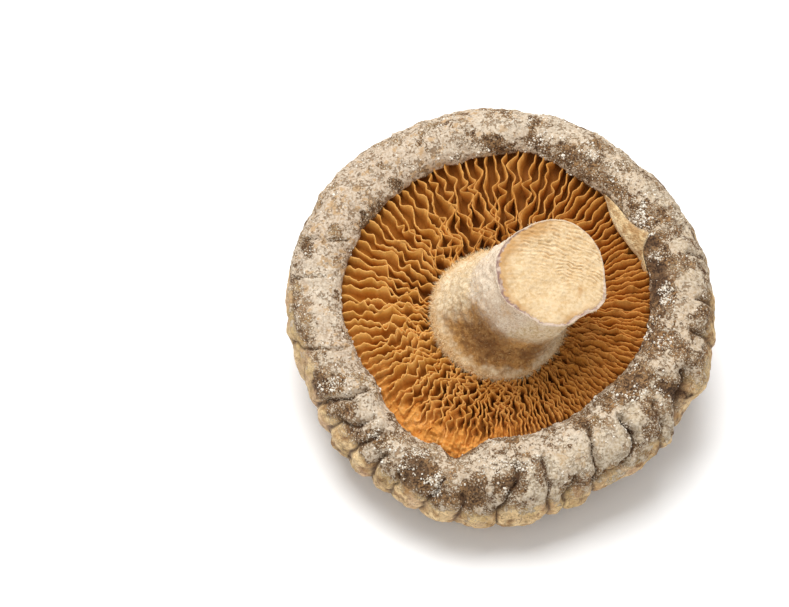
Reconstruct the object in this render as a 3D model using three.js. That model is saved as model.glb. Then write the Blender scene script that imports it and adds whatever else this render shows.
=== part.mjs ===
// A dried shiitake mushroom that lies on the back of its cap with its gills up.
//
// Three bodies that grew together meet along a thin seam: the cap with its rolled rim, the ring of
// gills inside the rim, and the trimmed stem that stands in the middle of the gills.
// Units are millimetres. +Z is up, and the origin is the middle of the flat spot that the cap rests on.
//
// The cap's own frame has its origin at the middle of the widest ring, x to the right, y away from the
// viewer and w out of the gills. It is tilted towards -Y and leans a little to -X.

import * as THREE from "three";

// Driving dimensions of the cap
const RING_CENTRE = [-1.2, -2.6, 11.8]; // middle of the widest ring above the resting flat
const TILT = 15; // degrees that the gills face towards -Y
const LEAN = 4; // degrees that the gills face towards -X
const ROLL_HEIGHT = 5.0; // crest of the rolled rim above the widest ring
const BACK_POWER = [2.7, 1.7]; // squareness of the back's section on the near and on the far side
const REST_BITE = 0.2; // how much of the back's lowest point is pressed flat
const HOLLOW_DEPTH = 3.2; // floor of the cap's hollow below the widest ring
const HOLLOW_MARGIN = 0.5; // how much wider the hollow is than the opening above it
const SEAM = 0.3; // gap between bodies that grew together

// Radius of the widest ring and of the gill opening, every 15 degrees from +x towards +y
const RING_RADII = [
  25.4, 25.3, 25.0, 25.0, 25.2, 25.5, 25.7, 26.0, 26.0, 26.3, 25.9, 25.6,
  25.1, 24.4, 24.7, 25.3, 25.6, 26.1, 25.7, 25.1, 24.3, 25.2, 24.6, 25.5,
];
const OPENING_RADII = [
  17.6, 17.8, 17.7, 18.4, 18.4, 19.5, 18.9, 18.7, 18.5, 18.5, 18.6, 18.5,
  18.3, 17.5, 17.1, 18.0, 18.8, 19.0, 16.4, 16.3, 16.1, 15.9, 16.8, 17.4,
];

// Section of the rolled rim from the lip to the widest ring: share of the way from opening to ring, and
// share of ROLL_HEIGHT
const ROLL_SHARES = [0.14, 0.0, 0.12, 0.4, 0.7, 0.92, 1.0];
const ROLL_HEIGHTS = [0.3, 0.58, 0.86, 1.0, 0.88, 0.5, 0.0];

// Pleats where the drying rim folded in: [degrees from +x, depth, half width in degrees at the widest ring,
// first and last row]. A row is 0 at the lip, 1 at the widest ring and 2 at the middle of the back.
const PLEATS = [
  [6, 0.9, 3.4, 0.75, 1.5],
  [18, 0.9, 3.6, 0.7, 1.45],
  [45, 0.8, 3.8, 0.35, 1.4],
  [66, 0.6, 3.6, 0.6, 1.5],
  [81, 0.7, 3.2, 0.1, 1.4],
  [105, 0.6, 3.8, 0.6, 1.5],
  [132, 0.6, 3.6, 0.5, 1.5],
  [150, 0.5, 3.6, 0.5, 1.5],
  [168, 0.6, 3.2, 0.2, 1.5],
  [189, 0.9, 3.4, 0.3, 1.5],
  [204, 1.1, 3.2, 0.1, 1.6],
  [213, 1.1, 3.0, 0.2, 1.6],
  [222, 1.2, 3.0, 0.2, 1.6],
  [231, 1.5, 3.2, 0.3, 1.6],
  [249, 0.9, 3.2, 0.4, 1.5],
  [261, 0.7, 3.0, 0.5, 1.5],
  [270, 1.0, 3.0, 0.55, 1.55],
  [285, 1.0, 3.2, 0.3, 1.5],
  [294, 0.9, 3.0, 0.6, 1.5],
  [303, 0.8, 3.0, 0.2, 1.5],
  [312, 1.6, 3.4, 0.4, 1.6],
  [328, 1.5, 3.6, 0.45, 1.6],
  [345, 0.9, 3.4, 0.6, 1.5],
  [354, 0.8, 3.0, 0.7, 1.5],
];
const PLEAT_EASE = 0.2; // rows over which a pleat starts and ends

// Plates that the back shrank into, laid out on the back as if it were pressed flat
const PLATE_COUNT = 26;
const BACK_STRETCH = 0.35; // how much further the widest ring then lies from the middle
const PLATE_SPREAD = 34; // radius over which their middles lie
const PLATE_JOSTLE = 2.8; // how far a middle may be moved
const PLATE_BEND = 1.6; // how far the valleys between them wander
const PLATE_BEND_RATE = [0.31, 0.27]; // radians per millimetre of that wandering, along y and along x
const PLATE_SEED = 7;
const VALLEY_DEPTH = 1.5;
const VALLEY_WIDTH = 3.6; // how much further the second plate's middle is where a valley has faded
const SMOOTH_ROWS = [1.5, 1.75]; // where the valleys fade out towards the resting flat

// Driving dimensions of the gills
const GILL_COUNT = 68; // every other one is short and starts part of the way out
const GILL_THICKNESS = 0.64;
const GILL_TAPER = 0.06; // how much wider a gill is at its root on each side
const GILL_RADIUS = 8.0; // inner end of the gills, round the stem's root
const GILL_FLOOR = -1.4; // between the gills, measured from the widest ring
const GILL_EDGE = [0.8, 2.2, 1.9]; // height of the free edge at the stem, halfway and at the rim
const SHORT_GILL_START = [0.45, 0.7]; // share of the way from stem to rim, least and most
const GILL_RISE = 0.09; // share over which a short gill rises
const SEEDLING_THICKNESS = 0.12; // of a short gill before it rises
const WAVE_HEIGHT = 0.42; // how far a gill swings to each side
const WAVE_COUNT = 2.3; // waves from stem to rim
const WAVES_ROUND = 5; // waves that the gills' bends make once round the stem
const WAVE_JITTER = 0.02;
const GILL_STEPS = 12;
const GILL_SEED = 11;
// Where the gills melt into a smooth margin: degrees of its middle, half width in degrees, share it starts at
const SMOOTH_MARGIN = [256, 34, 0.72];
const MARGIN_EASE = 0.12; // share over which they melt
const MARGIN_RELIEF = 0.25; // how much of their height is left

// Driving dimensions of the stem
const STEM_LENGTH = 13.4; // along w, from the widest ring to the middle of the cut
const STEM_ROOT = [-0.2, -0.6]; // its middle in the cap's own frame
const STEM_SHIFT = [6.8, 0.5]; // how far the cut's middle lies from the root's, in x and y
const STEM_BEND = 1.25; // above 1 the stem leaves the cap upright and leans over further out
const STEM_FOOT = 7.5; // radius inside the cap
const STEM_RADII = [7.6, 7.6, 6.8, 6.3, 6.05, 5.95, 5.9, 5.9]; // from the gills to the cut, evenly spaced
const CUT_SLOPE = [-0.3, 0.18]; // rise of the cut face towards +x and +y
const STEM_CORNERS = 0.035; // how far the stem departs from round
const CORNER_TURN = [0.6, 1]; // radians that turn its four and its three corners

const COLOURS = { cap: 0xa8967c, gills: 0xc07a2e, stem: 0xdcc9a0 };

const TURN = 2 * Math.PI;
const DEGREE = TURN / 360;
const { lerp, clamp, smoothstep } = THREE.MathUtils;

// The cap's own axes in the resting frame
const lean = new THREE.Matrix4().makeRotationY(-LEAN * DEGREE);
const tilt = new THREE.Matrix4().makeRotationX(TILT * DEGREE);
const CENTRE = new THREE.Vector3(...RING_CENTRE);
const AXIS_X = new THREE.Vector3();
const AXIS_Y = new THREE.Vector3();
const AXIS_W = new THREE.Vector3();
lean.multiply(tilt).extractBasis(AXIS_X, AXIS_Y, AXIS_W);

// A point of the cap's own frame in the resting frame.
function placed(x, y, w) {
  return CENTRE.clone().addScaledVector(AXIS_X, x).addScaledVector(AXIS_Y, y).addScaledVector(AXIS_W, w);
}

function polar(angle, radius, w) {
  return placed(radius * Math.cos(angle), radius * Math.sin(angle), w);
}

// Random numbers from 0 to 1 that are the same on every run.
function randomFrom(seed) {
  let state = seed;
  return () => {
    state = (state * 16807) % 2147483647;
    return state / 2147483647;
  };
}

// The smooth curve through four evenly spaced values, between the second and the third.
function throughFour(a, b, c, d, u) {
  return b + 0.5 * u * (c - a + u * (2 * a - 5 * b + 4 * c - d + u * (3 * (b - c) + d - a)));
}

// A closed smooth curve through evenly spaced values, read at an angle.
function around(values, angle) {
  const count = values.length;
  const at = ((((angle / TURN) % 1) + 1) % 1) * count;
  const k = Math.floor(at);
  const [a, b, c, d] = [-1, 0, 1, 2].map((step) => values[(k + step + count) % count]);
  return throughFour(a, b, c, d, at - k);
}

// An open smooth curve through evenly spaced values, read from 0 to 1.
function along(values, share) {
  const last = values.length - 1;
  const k = Math.min(Math.floor(share * last), last - 1);
  const [a, b, c, d] = [-1, 0, 1, 2].map((step) => values[clamp(k + step, 0, last)]);
  return throughFour(a, b, c, d, share * last - k);
}

// How many degrees lie between an angle and a direction.
function degreesFrom(angle, direction) {
  return Math.abs(((((angle / DEGREE - direction + 180) % 360) + 360) % 360) - 180);
}

// How far the pleats pull the skin in at an angle and row.
function pleatDepth(angle, row) {
  const reach = Math.min(1, 2 - row);
  let depth = 0;
  for (const [direction, deep, half, first, last] of PLEATS) {
    const begun = smoothstep(row, first - PLEAT_EASE, first + PLEAT_EASE);
    const ended = smoothstep(row, last - PLEAT_EASE, last + PLEAT_EASE);
    const across = Math.exp(-(((reach * degreesFrom(angle, direction)) / half) ** 1.5));
    depth = Math.max(depth, deep * begun * (1 - ended) * across);
  }
  return depth;
}

// Middles of the plates on the back, spread as seeds are on a sunflower and then jostled.
function plateMiddles() {
  const random = randomFrom(PLATE_SEED);
  const golden = TURN * 0.381966;
  return Array.from({ length: PLATE_COUNT }, (_, k) => {
    const reach = PLATE_SPREAD * Math.sqrt((k + 0.5) / PLATE_COUNT);
    const x = reach * Math.cos(k * golden) + PLATE_JOSTLE * (2 * random() - 1);
    const y = reach * Math.sin(k * golden) + PLATE_JOSTLE * (2 * random() - 1);
    return [x, y];
  });
}
const PLATES = plateMiddles();

// How far the valleys between plates pull the back in, at an angle and row.
function valleyDepth(angle, row) {
  const reach = 2 - row;
  const distance = around(RING_RADII, angle) * reach * (1 + BACK_STRETCH * reach ** 4);
  const x = distance * Math.cos(angle);
  const y = distance * Math.sin(angle);
  const bentX = x + PLATE_BEND * Math.sin(PLATE_BEND_RATE[0] * y);
  const bentY = y + PLATE_BEND * Math.cos(PLATE_BEND_RATE[1] * x);
  const [nearest, second] = PLATES.map(([a, b]) => Math.hypot(bentX - a, bentY - b)).sort((a, b) => a - b);
  return VALLEY_DEPTH * Math.exp(-(second - nearest) / VALLEY_WIDTH);
}

// Where the resting flat's middle lies in the cap's own frame, and how deep the ground is below a place there
const REST = [-AXIS_X.dot(CENTRE), -AXIS_Y.dot(CENTRE)];
function depthToGround(x, y) {
  return (CENTRE.z + AXIS_X.z * x + AXIS_Y.z * y) / AXIS_W.z;
}

// A point of the rolled rim before its pleats. Row 0 is the lip and row 1 the widest ring.
function rollPoint(angle, row) {
  const opening = around(OPENING_RADII, angle);
  const radius = lerp(opening, around(RING_RADII, angle), along(ROLL_SHARES, row));
  return polar(angle, radius, ROLL_HEIGHT * along(ROLL_HEIGHTS, row));
}

// The place in the cap's own frame of a point on its back. Row 1 is the widest ring, row 2 the resting flat.
function backPlace(angle, row) {
  const ring = around(RING_RADII, angle);
  return [lerp(ring * Math.cos(angle), REST[0], row - 1), lerp(ring * Math.sin(angle), REST[1], row - 1)];
}

// A point of the cap's back before its relief.
function backPoint(angle, row) {
  const [x, y] = backPlace(angle, row);
  const power = lerp(BACK_POWER[0], BACK_POWER[1], 0.5 + 0.5 * Math.sin(angle));
  const fullness = (1 - (2 - row) ** power) ** (1 / power);
  return placed(x, y, -depthToGround(x, y) * fullness);
}

function barePoint(angle, row) {
  return row <= 1 ? rollPoint(angle, row) : backPoint(angle, row);
}

// The direction straight out of the cap's skin.
function outwardAt(angle, row) {
  const step = 0.01;
  const across = barePoint(angle + step, row).sub(barePoint(angle - step, row));
  const inwards = barePoint(angle, Math.min(row + step, 2)).sub(barePoint(angle, Math.max(row - step, 0)));
  return inwards.cross(across).normalize();
}

// A point of the cap's skin with its relief, pressed flat where it would go below the ground.
function skinPoint(angle, row) {
  const point = barePoint(angle, row);
  let pull = pleatDepth(angle, row);
  if (row > 1) {
    const present = smoothstep(row, 1, 1.12) * (1 - smoothstep(row, ...SMOOTH_ROWS));
    pull = Math.max(pull, present * valleyDepth(angle, row));
    point.z -= REST_BITE * smoothstep(row, 1, SMOOTH_ROWS[0]);
  }
  point.addScaledVector(outwardAt(angle, row), -pull);
  point.z = Math.max(point.z, 0);
  return point;
}

// A ring of points round the cap's own axis.
function ringOf(count, pointAt) {
  return Array.from({ length: count }, (_, i) => pointAt((i / count) * TURN));
}

// Triangles between two rings, where one count is the other or a whole multiple of it.
function joinRings(faces, low, high) {
  const most = Math.max(low.count, high.count);
  const pick = (ring, i) => ring.start + (Math.floor((i * ring.count) / most) % ring.count);
  for (let i = 0; i < most; i += 1) {
    const [a, aNext, b, bNext] = [pick(low, i), pick(low, i + 1), pick(high, i), pick(high, i + 1)];
    if (b !== bNext) faces.push(a, bNext, b);
    if (a !== aNext) faces.push(a, aNext, bNext);
  }
}

// A mesh from rings that run from its underside up. As a washer its last ring joins the first again.
// Otherwise its first and last ring are each closed by a fan round their middle.
function meshFromRings(name, rings, roughness, washer = false) {
  const points = [];
  const faces = [];
  const spans = rings.map((ring) => {
    const span = { start: points.length, count: ring.length };
    points.push(...ring);
    return span;
  });
  spans.slice(1).forEach((span, k) => joinRings(faces, spans[k], span));
  if (washer) {
    joinRings(faces, spans.at(-1), spans[0]);
  } else {
    [rings[0], rings.at(-1)].forEach((ring, end) => {
      const { start, count } = end === 0 ? spans[0] : spans.at(-1);
      const middle = ring.reduce((sum, p) => sum.add(p), new THREE.Vector3()).divideScalar(count);
      for (let i = 0; i < count; i += 1) {
        const [a, b] = [start + i, start + ((i + 1) % count)];
        faces.push(points.length, ...(end === 0 ? [b, a] : [a, b]));
      }
      points.push(middle);
    });
  }
  const geometry = new THREE.BufferGeometry().setFromPoints(points);
  geometry.setIndex(faces);
  geometry.computeVertexNormals();
  const material = new THREE.MeshStandardMaterial({ color: COLOURS[name], roughness, metalness: 0 });
  const mesh = new THREE.Mesh(geometry, material);
  mesh.name = name;
  return mesh;
}

// The cap: its back up from the resting flat, the rolled rim, and the wall and floor of the hollow.
function makeCap() {
  const columns = 120;
  const backRows = [1.86, 1.78, 1.7, 1.63, 1.56, 1.49, 1.42, 1.35, 1.28, 1.21, 1.14, 1.08, 1.03];
  const rollRows = [1, 0.92, 0.8, 0.66, 0.52, 0.38, 0.24, 0.12, 0];
  const rings = [...backRows, ...rollRows].map((row) => {
    const crowding = row > 1.75 ? 4 : row > 1.5 ? 2 : 1;
    return ringOf(columns / crowding, (angle) => skinPoint(angle, row));
  });
  const wallRadius = (angle) => around(OPENING_RADII, angle) + HOLLOW_MARGIN;
  rings.push(ringOf(columns, (angle) => polar(angle, wallRadius(angle), -HOLLOW_DEPTH)));
  rings.push(ringOf(columns / 5, (angle) => polar(angle, 0.5 * GILL_RADIUS, -HOLLOW_DEPTH)));
  return meshFromRings("cap", rings, 0.85);
}

// Height of the gills' free edge, and of the floor between them, at a share of the way from stem to rim.
function gillEdge(share) {
  return along(GILL_EDGE, share);
}
function gillFloor(angle, share) {
  const [direction, half, start] = SMOOTH_MARGIN;
  const inMargin = 1 - smoothstep(degreesFrom(angle, direction), 0.7 * half, half);
  const melted = inMargin * smoothstep(share, start - MARGIN_EASE, start + MARGIN_EASE);
  return lerp(GILL_FLOOR, gillEdge(share) - MARGIN_RELIEF, melted);
}

function gillEnd(angle) {
  return around(OPENING_RADII, angle) + HOLLOW_MARGIN - SEAM;
}

// A place beside the stem's root.
function besideStem(angle, radius, w) {
  return placed(STEM_ROOT[0] + radius * Math.cos(angle), STEM_ROOT[1] + radius * Math.sin(angle), w);
}

// Four points across one gill at a share of the way from stem to rim: root, edge, edge and root.
function acrossGill(gill, share) {
  const angle = (gill.index / GILL_COUNT) * TURN;
  const from = besideStem(angle, GILL_RADIUS, 0);
  const to = polar(angle, gillEnd(angle), 0);
  const sideways = AXIS_W.clone().cross(to.clone().sub(from)).normalize();
  const envelope = Math.sqrt(Math.sin(Math.PI * share));
  const swing = WAVE_HEIGHT * envelope * Math.sin(TURN * (WAVE_COUNT * share + gill.phase));
  const grown = smoothstep(share, gill.start - GILL_RISE, gill.start);
  const half = 0.5 * lerp(SEEDLING_THICKNESS, GILL_THICKNESS, grown);
  const floor = gillFloor(angle, share);
  const edge = lerp(floor, gillEdge(share), grown);
  return [-half - GILL_TAPER, -half, half, half + GILL_TAPER].map((side, corner) => {
    const w = corner === 1 || corner === 2 ? edge : floor;
    return from.clone().lerp(to, share).addScaledVector(sideways, swing + side).addScaledVector(AXIS_W, w);
  });
}

// The gills: wavy upright plates that rise from one thin ring of flesh.
function makeGills() {
  const random = randomFrom(GILL_SEED);
  const gills = Array.from({ length: GILL_COUNT }, (_, index) => {
    const phase = (WAVES_ROUND * index) / GILL_COUNT + WAVE_JITTER * random();
    const start = lerp(...SHORT_GILL_START, random());
    return { index, phase, start: index % 2 === 0 ? -1 : start };
  });
  const bottom = SEAM - HOLLOW_DEPTH;
  const rings = [ringOf(GILL_COUNT, (angle) => polar(angle, gillEnd(angle), bottom))];
  for (let step = GILL_STEPS; step >= 0; step -= 1) {
    rings.push(gills.flatMap((gill) => acrossGill(gill, step / GILL_STEPS)));
  }
  rings.push(ringOf(GILL_COUNT, (angle) => besideStem(angle, GILL_RADIUS, bottom)));
  return meshFromRings("gills", rings, 0.8, true);
}

// A ring round the stem at a share of its length. The last one lies in the plane of the cut.
function stemRing(columns, share) {
  const bent = share ** STEM_BEND;
  return ringOf(columns, (angle) => {
    const corners = Math.cos(4 * angle + CORNER_TURN[0]) * share - Math.cos(3 * angle + CORNER_TURN[1]);
    const radius = along(STEM_RADII, share) * (1 + STEM_CORNERS * smoothstep(share, 0, 0.2) * corners);
    const slope = radius * (CUT_SLOPE[0] * Math.cos(angle) + CUT_SLOPE[1] * Math.sin(angle));
    return besideStem(angle, radius, share * STEM_LENGTH + bent * slope)
      .addScaledVector(AXIS_X, STEM_SHIFT[0] * bent)
      .addScaledVector(AXIS_Y, STEM_SHIFT[1] * bent);
  });
}

// The stem: a leaning stalk with a flared root and a slanting cut.
function makeStem() {
  const columns = 36;
  const shares = [0, 0.06, 0.14, 0.24, 0.36, 0.5, 0.66, 0.83, 1];
  const foot = ringOf(columns, (angle) => besideStem(angle, STEM_FOOT, SEAM - HOLLOW_DEPTH));
  return meshFromRings("stem", [foot, ...shares.map((share) => stemRing(columns, share))], 0.9);
}

const mushroom = new THREE.Group();
mushroom.add(makeCap(), makeGills(), makeStem());

export default mushroom;
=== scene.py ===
# %% [markdown]
# # A dried shiitake mushroom, gills up
#
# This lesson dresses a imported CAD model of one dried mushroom. The CAD model gives the size, the place
# and the main shapes. Here its three bodies get the detail that the eye looks for: a cap that shrank
# into folds and plates, a white crust on its rolled rim, thin wavy gills, and a felted stem with a cut end.
#
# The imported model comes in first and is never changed, because everything else is placed around it.

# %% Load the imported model
import math

import bpy
import numpy as np
from mathutils import Matrix, Vector, noise


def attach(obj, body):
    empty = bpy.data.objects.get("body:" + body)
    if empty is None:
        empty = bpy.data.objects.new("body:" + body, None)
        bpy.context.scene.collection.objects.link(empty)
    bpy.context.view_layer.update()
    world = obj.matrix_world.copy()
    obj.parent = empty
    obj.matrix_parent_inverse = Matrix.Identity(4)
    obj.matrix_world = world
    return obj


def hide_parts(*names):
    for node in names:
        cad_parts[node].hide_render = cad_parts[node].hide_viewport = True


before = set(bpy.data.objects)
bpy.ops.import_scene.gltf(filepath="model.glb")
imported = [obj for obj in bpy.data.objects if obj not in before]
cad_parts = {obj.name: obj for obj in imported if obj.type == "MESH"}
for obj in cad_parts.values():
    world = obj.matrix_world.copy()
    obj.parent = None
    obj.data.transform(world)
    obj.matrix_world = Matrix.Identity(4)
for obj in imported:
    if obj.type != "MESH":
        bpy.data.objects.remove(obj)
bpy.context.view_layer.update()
MM = 0.001

# %% [markdown]
# ## The camera
#
# The camera looks down at a slant through a long lens, which flattens the mushroom a little, as in a product
# photograph. Its place and its turn were found by laying the CAD outline over the photographed one. Blender's
# camera helpers are not needed: three numbers for the place, one turn about X and the focal length do it.

# %% Set up the camera
def into_scene(name, data):
    """A new object in the scene, made of a mesh, a lamp or a camera."""
    thing = bpy.data.objects.new(name, data)
    bpy.context.scene.collection.objects.link(thing)
    return thing


CAMERA_PLACE = (-13.49, -164.35, 244.75)
CAMERA_PITCH = 35
camera = into_scene("camera", bpy.data.cameras.new("camera"))
camera.data.lens = 110
camera.data.sensor_width = 36
camera.data.clip_start = 0.01
camera.location = [MM * x for x in CAMERA_PLACE]
camera.rotation_euler = (math.radians(CAMERA_PITCH), 0, 0)
bpy.context.scene.camera = camera
print("camera at", tuple(round(x, 3) for x in camera.location))

# %% [markdown]
# ## Colours
#
# Colours are chosen as the eye sees them, in the values of a paint program. Blender calculates with the
# amount of light instead, in which middle grey is 0.21 and not 0.5. One short function turns the first kind
# of value into the second.

# %% Colours as seen on a screen
def paint(red, green, blue):
    """A colour from 0 to 255, as seen on a screen, in Blender's linear values."""
    shown = [c / 255 for c in (red, green, blue)]
    return (*(c / 12.92 if c <= 0.04045 else ((c + 0.055) / 1.055) ** 2.4 for c in shown), 1.0)


print("white crust in linear values:", [round(c, 2) for c in paint(222, 214, 200)])

# %% [markdown]
# ## One way to add any node
#
# Blender's shaders and its Geometry Nodes are both built from nodes and links. Written out one by one they
# bury the idea in plumbing. So a small class wraps an output socket and gives it the usual operators. Then
# `1 - mask * 2` adds the Math nodes by itself, and one method adds every other kind of node: its type, its
# settings, which have to come first because they change the sockets, and what goes into its sockets.
#
# A finish is built up as a painter does it: a ground colour, and then coats over it, each through a mask.
# The method `over` takes such a list of masks and colours.

# %% Sockets that can be calculated with
def both_ways(operation):
    """An operator and its reflected form, so that 1 - mask works as well as mask - 1."""
    def forward(self, other):
        return self.math(operation, other)

    def reflected(self, other):
        return self.nodes.add("ShaderNodeMath", {"operation": operation}, {0: other, 1: self})

    return forward, reflected


class Value:
    """An output socket that can be calculated with like a number."""

    __add__, __radd__ = both_ways("ADD")
    __sub__, __rsub__ = both_ways("SUBTRACT")
    __mul__, __rmul__ = both_ways("MULTIPLY")
    __truediv__, __rtruediv__ = both_ways("DIVIDE")
    __pow__, __rpow__ = both_ways("POWER")
    __mod__, __rmod__ = both_ways("FLOORED_MODULO")

    def __init__(self, nodes, socket):
        self.nodes = nodes
        self.socket = socket

    def math(self, operation, *others):
        return self.nodes.add("ShaderNodeMath", {"operation": operation}, dict(enumerate((self, *others))))

    def step(self, low, high):
        """0 below low, 1 above high and smooth between them. It falls instead if low is above high."""
        if low > high:
            return 1 - self.step(high, low)
        settings = {"interpolation_type": "SMOOTHSTEP"}
        return self.nodes.add("ShaderNodeMapRange", settings, {0: self, 1: low, 2: high})

    def kept(self):
        """The value held between 0 and 1."""
        return self.math("MAXIMUM", 0.0).math("MINIMUM", 1.0)

    def also(self, name):
        """Another output of the same node."""
        return Value(self.nodes, self.socket.node.outputs[name])


class Nodes:
    """A node tree, and the one method that adds nodes to it."""

    def __init__(self, tree):
        self.tree = tree

    def add(self, kind, settings=None, sockets=None, out=0):
        node = self.tree.nodes.new(kind)
        for name, value in (settings or {}).items():
            setattr(node, name, value)
        for key, value in (sockets or {}).items():
            if isinstance(value, Value):
                self.tree.links.new(value.socket, node.inputs[key])
            else:
                node.inputs[key].default_value = value
        return Value(self, node.outputs[out])

    def mix(self, factor, a, b):
        """From colour a to colour b. A colour is a value, or red, green and blue as seen on a screen."""
        a, b = (paint(*colour) if isinstance(colour, tuple) else colour for colour in (a, b))
        return self.add("ShaderNodeMix", {"data_type": "RGBA"}, {0: factor, 6: a, 7: b}, out=2)

    def over(self, ground, *coats):
        """A ground colour with coats over it, each a mask and the colour that shows where the mask is 1."""
        for mask, colour in coats:
            ground = self.mix(mask, ground, colour)
        return ground

    def blend_value(self, factor, a, b):
        """From number a to number b."""
        return self.add("ShaderNodeMix", {"data_type": "FLOAT"}, {0: factor, 2: a, 3: b})

    def vector(self, operation, a, b=None, scale=None):
        sockets = {0: a}
        if b is not None:
            sockets[1] = b
        if scale is not None:
            sockets["Scale"] = scale
        return self.add("ShaderNodeVectorMath", {"operation": operation}, sockets)

    def combine(self, x, y, z):
        return self.add("ShaderNodeCombineXYZ", {}, {0: x, 1: y, 2: z})


print("node helpers are ready")

# %% [markdown]
# ## Smooth steps and noise
#
# A grown thing is irregular, but never jumps. So its shapes are made of two ingredients: masks that rise and
# fall smoothly, and noise. Noise comes from Blender's own functions, at points moved by a seed, so that the
# mushroom grows the same way every time.

# %% Masks and noise over grids of points
def smoothstep(value, low, high):
    share = np.clip((value - low) / (high - low), 0, 1)
    return share * share * (3 - 2 * share)


def bump(value, middle, half):
    """1 at a middle value, fading on both sides of it."""
    return np.exp(-(((value - middle) / half) ** 2))


def moved_by_seed(points, size, seed):
    """Points in millimetres as a list in noise units, in a place of its own for every seed."""
    return (points.reshape(-1, 3) / size + 19.7 * seed).tolist()


def rough(points, size, seed, octaves=3):
    """Noise between about -1 and 1 at points in millimetres, with features of about that size."""
    values = [noise.fractal(p, 0.8, 2.0, octaves) for p in moved_by_seed(points, size, seed)]
    return np.array(values).reshape(points.shape[:-1])


def rough_vector(points, size, seeds, octaves):
    """Three such noises as one vector at every point."""
    return np.stack([rough(points, size, seed, octaves) for seed in seeds], axis=-1)


def cells(points, size, seed):
    """How far a point is from the border between round cells, in cell sizes: 0 on the border."""
    distances = [noise.voronoi(p)[0] for p in moved_by_seed(points, size, seed)]
    return np.array([d[1] - d[0] for d in distances]).reshape(points.shape[:-1])


print("noise at the origin:", round(float(rough(np.zeros((1, 3)), 1.0, 1)[0]), 3))

# %% [markdown]
# ## The cap's own frame and its smooth curves
#
# The mushroom lies tilted on the back of its cap, but it grew round its own axis. So its shapes are worked
# out in the cap's own frame, with w pointing out of the gills, and turned into the resting frame at the
# end. The rim and the opening are not circles: each is a list of radii, joined by a smooth closed curve.
# All of this follows the CAD model's own measures, in millimetres, so the detail lands on its solids.

# %% The cap's own frame
RING_CENTRE = np.array([-1.2, -2.6, 11.8])
TILT = math.radians(15)
LEAN = math.radians(4)
ROLL_HEIGHT = 5.0
TURN = 2 * math.pi
OWN = np.array(Matrix.Rotation(-LEAN, 3, "Y") @ Matrix.Rotation(TILT, 3, "X"))
AXIS_X, AXIS_Y, AXIS_W = OWN.T
# Every 15 degrees from +x
RING_RADII = np.array([
    25.4, 25.3, 25.0, 25.0, 25.2, 25.5, 25.7, 26.0, 26.0, 26.3, 25.9, 25.6,
    25.1, 24.4, 24.7, 25.3, 25.6, 26.1, 25.7, 25.1, 24.3, 25.2, 24.6, 25.5,
])
OPENING_RADII = np.array([
    17.6, 17.8, 17.7, 18.4, 18.4, 19.5, 18.9, 18.7, 18.5, 18.5, 18.6, 18.5,
    18.3, 17.5, 17.1, 18.0, 18.8, 19.0, 16.4, 16.3, 16.1, 15.9, 16.8, 17.4,
])


def placed(x, y, w):
    """Points of the cap's own frame in the resting frame."""
    own = np.stack(np.broadcast_arrays(x, y, w), axis=-1)
    return RING_CENTRE + own @ OWN.T


def polar(angle, radius, w):
    return placed(radius * np.cos(angle), radius * np.sin(angle), w)


def through_four(a, b, c, d, u):
    """A smooth curve from b to c that also heeds the values before and after them."""
    return b + 0.5 * u * (c - a + u * (2 * a - 5 * b + 4 * c - d + u * (3 * (b - c) + d - a)))


def around(values, angle):
    """A closed smooth curve through evenly spaced values, read at an angle."""
    values = np.asarray(values, float)
    count = len(values)
    at = np.mod(angle / TURN, 1) * count
    k = np.floor(at).astype(int)
    a, b, c, d = (values[(k + step) % count] for step in (-1, 0, 1, 2))
    return through_four(a, b, c, d, at - k)


def along(values, share):
    """An open smooth curve through evenly spaced values, read from 0 to 1."""
    values = np.asarray(values, float)
    last = len(values) - 1
    k = np.minimum(np.floor(np.asarray(share) * last).astype(int), last - 1)
    a, b, c, d = (values[np.clip(k + step, 0, last)] for step in (-1, 0, 1, 2))
    return through_four(a, b, c, d, share * last - k)


def degrees_from(angle, direction):
    return np.abs(np.mod(np.degrees(angle) - direction + 180, 360) - 180)


def near(angle, direction, full, gone):
    """1 as far as `full` degrees from a direction and 0 from `gone` degrees on."""
    return 1 - smoothstep(degrees_from(angle, direction), full, gone)


print("the gills face", [round(float(c), 3) for c in AXIS_W])

# %% [markdown]
# ## The cap's smooth skin
#
# A point of the skin has an angle round the cap and a row: 0 at the lip that hangs over the gills, 1 at
# the widest ring and 2 at the middle of the back that it rests on. The skin could be sculpted by hand, but a
# grid over angle and row is easier to fold later, because every fold is only a number that depends on those
# two. Rows are crowded where the skin turns sharply, next to the widest ring.

# %% Smooth skin
# From the lip to the widest ring: share of the way out, and share of the roll's height
ROLL_SHARES = [0.14, 0.0, 0.12, 0.4, 0.7, 0.92, 1.0]
ROLL_HEIGHTS = [0.3, 0.58, 0.86, 1.0, 0.88, 0.5, 0.0]
# How full the back bulges at its low front and at its high rear
BACK_POWER = (2.7, 1.7)
REST = [-RING_CENTRE @ AXIS_X, -RING_CENTRE @ AXIS_Y]
COLUMNS = 690
BACK_ROWS = 70
ROLL_ROWS = 66
# Where the inner edge stands further into the opening: degrees, half width in degrees, millimetres
LIP_PUSHES = [(246, 3.5, 0.75), (262, 6, 1.1), (253, 1.8, -0.3), (212, 5, 0.3), (290, 6, 0.3)]


def roll_points(angle, row):
    opening = around(OPENING_RADII, angle)
    near_lip = 1 - smoothstep(row, 0.15, 0.5)
    for direction, half, push in LIP_PUSHES:
        opening = opening - push * near_lip * bump(degrees_from(angle, direction), 0, half)
    radius = opening + (around(RING_RADII, angle) - opening) * along(ROLL_SHARES, row)
    return polar(angle, radius, ROLL_HEIGHT * along(ROLL_HEIGHTS, row))


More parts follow.
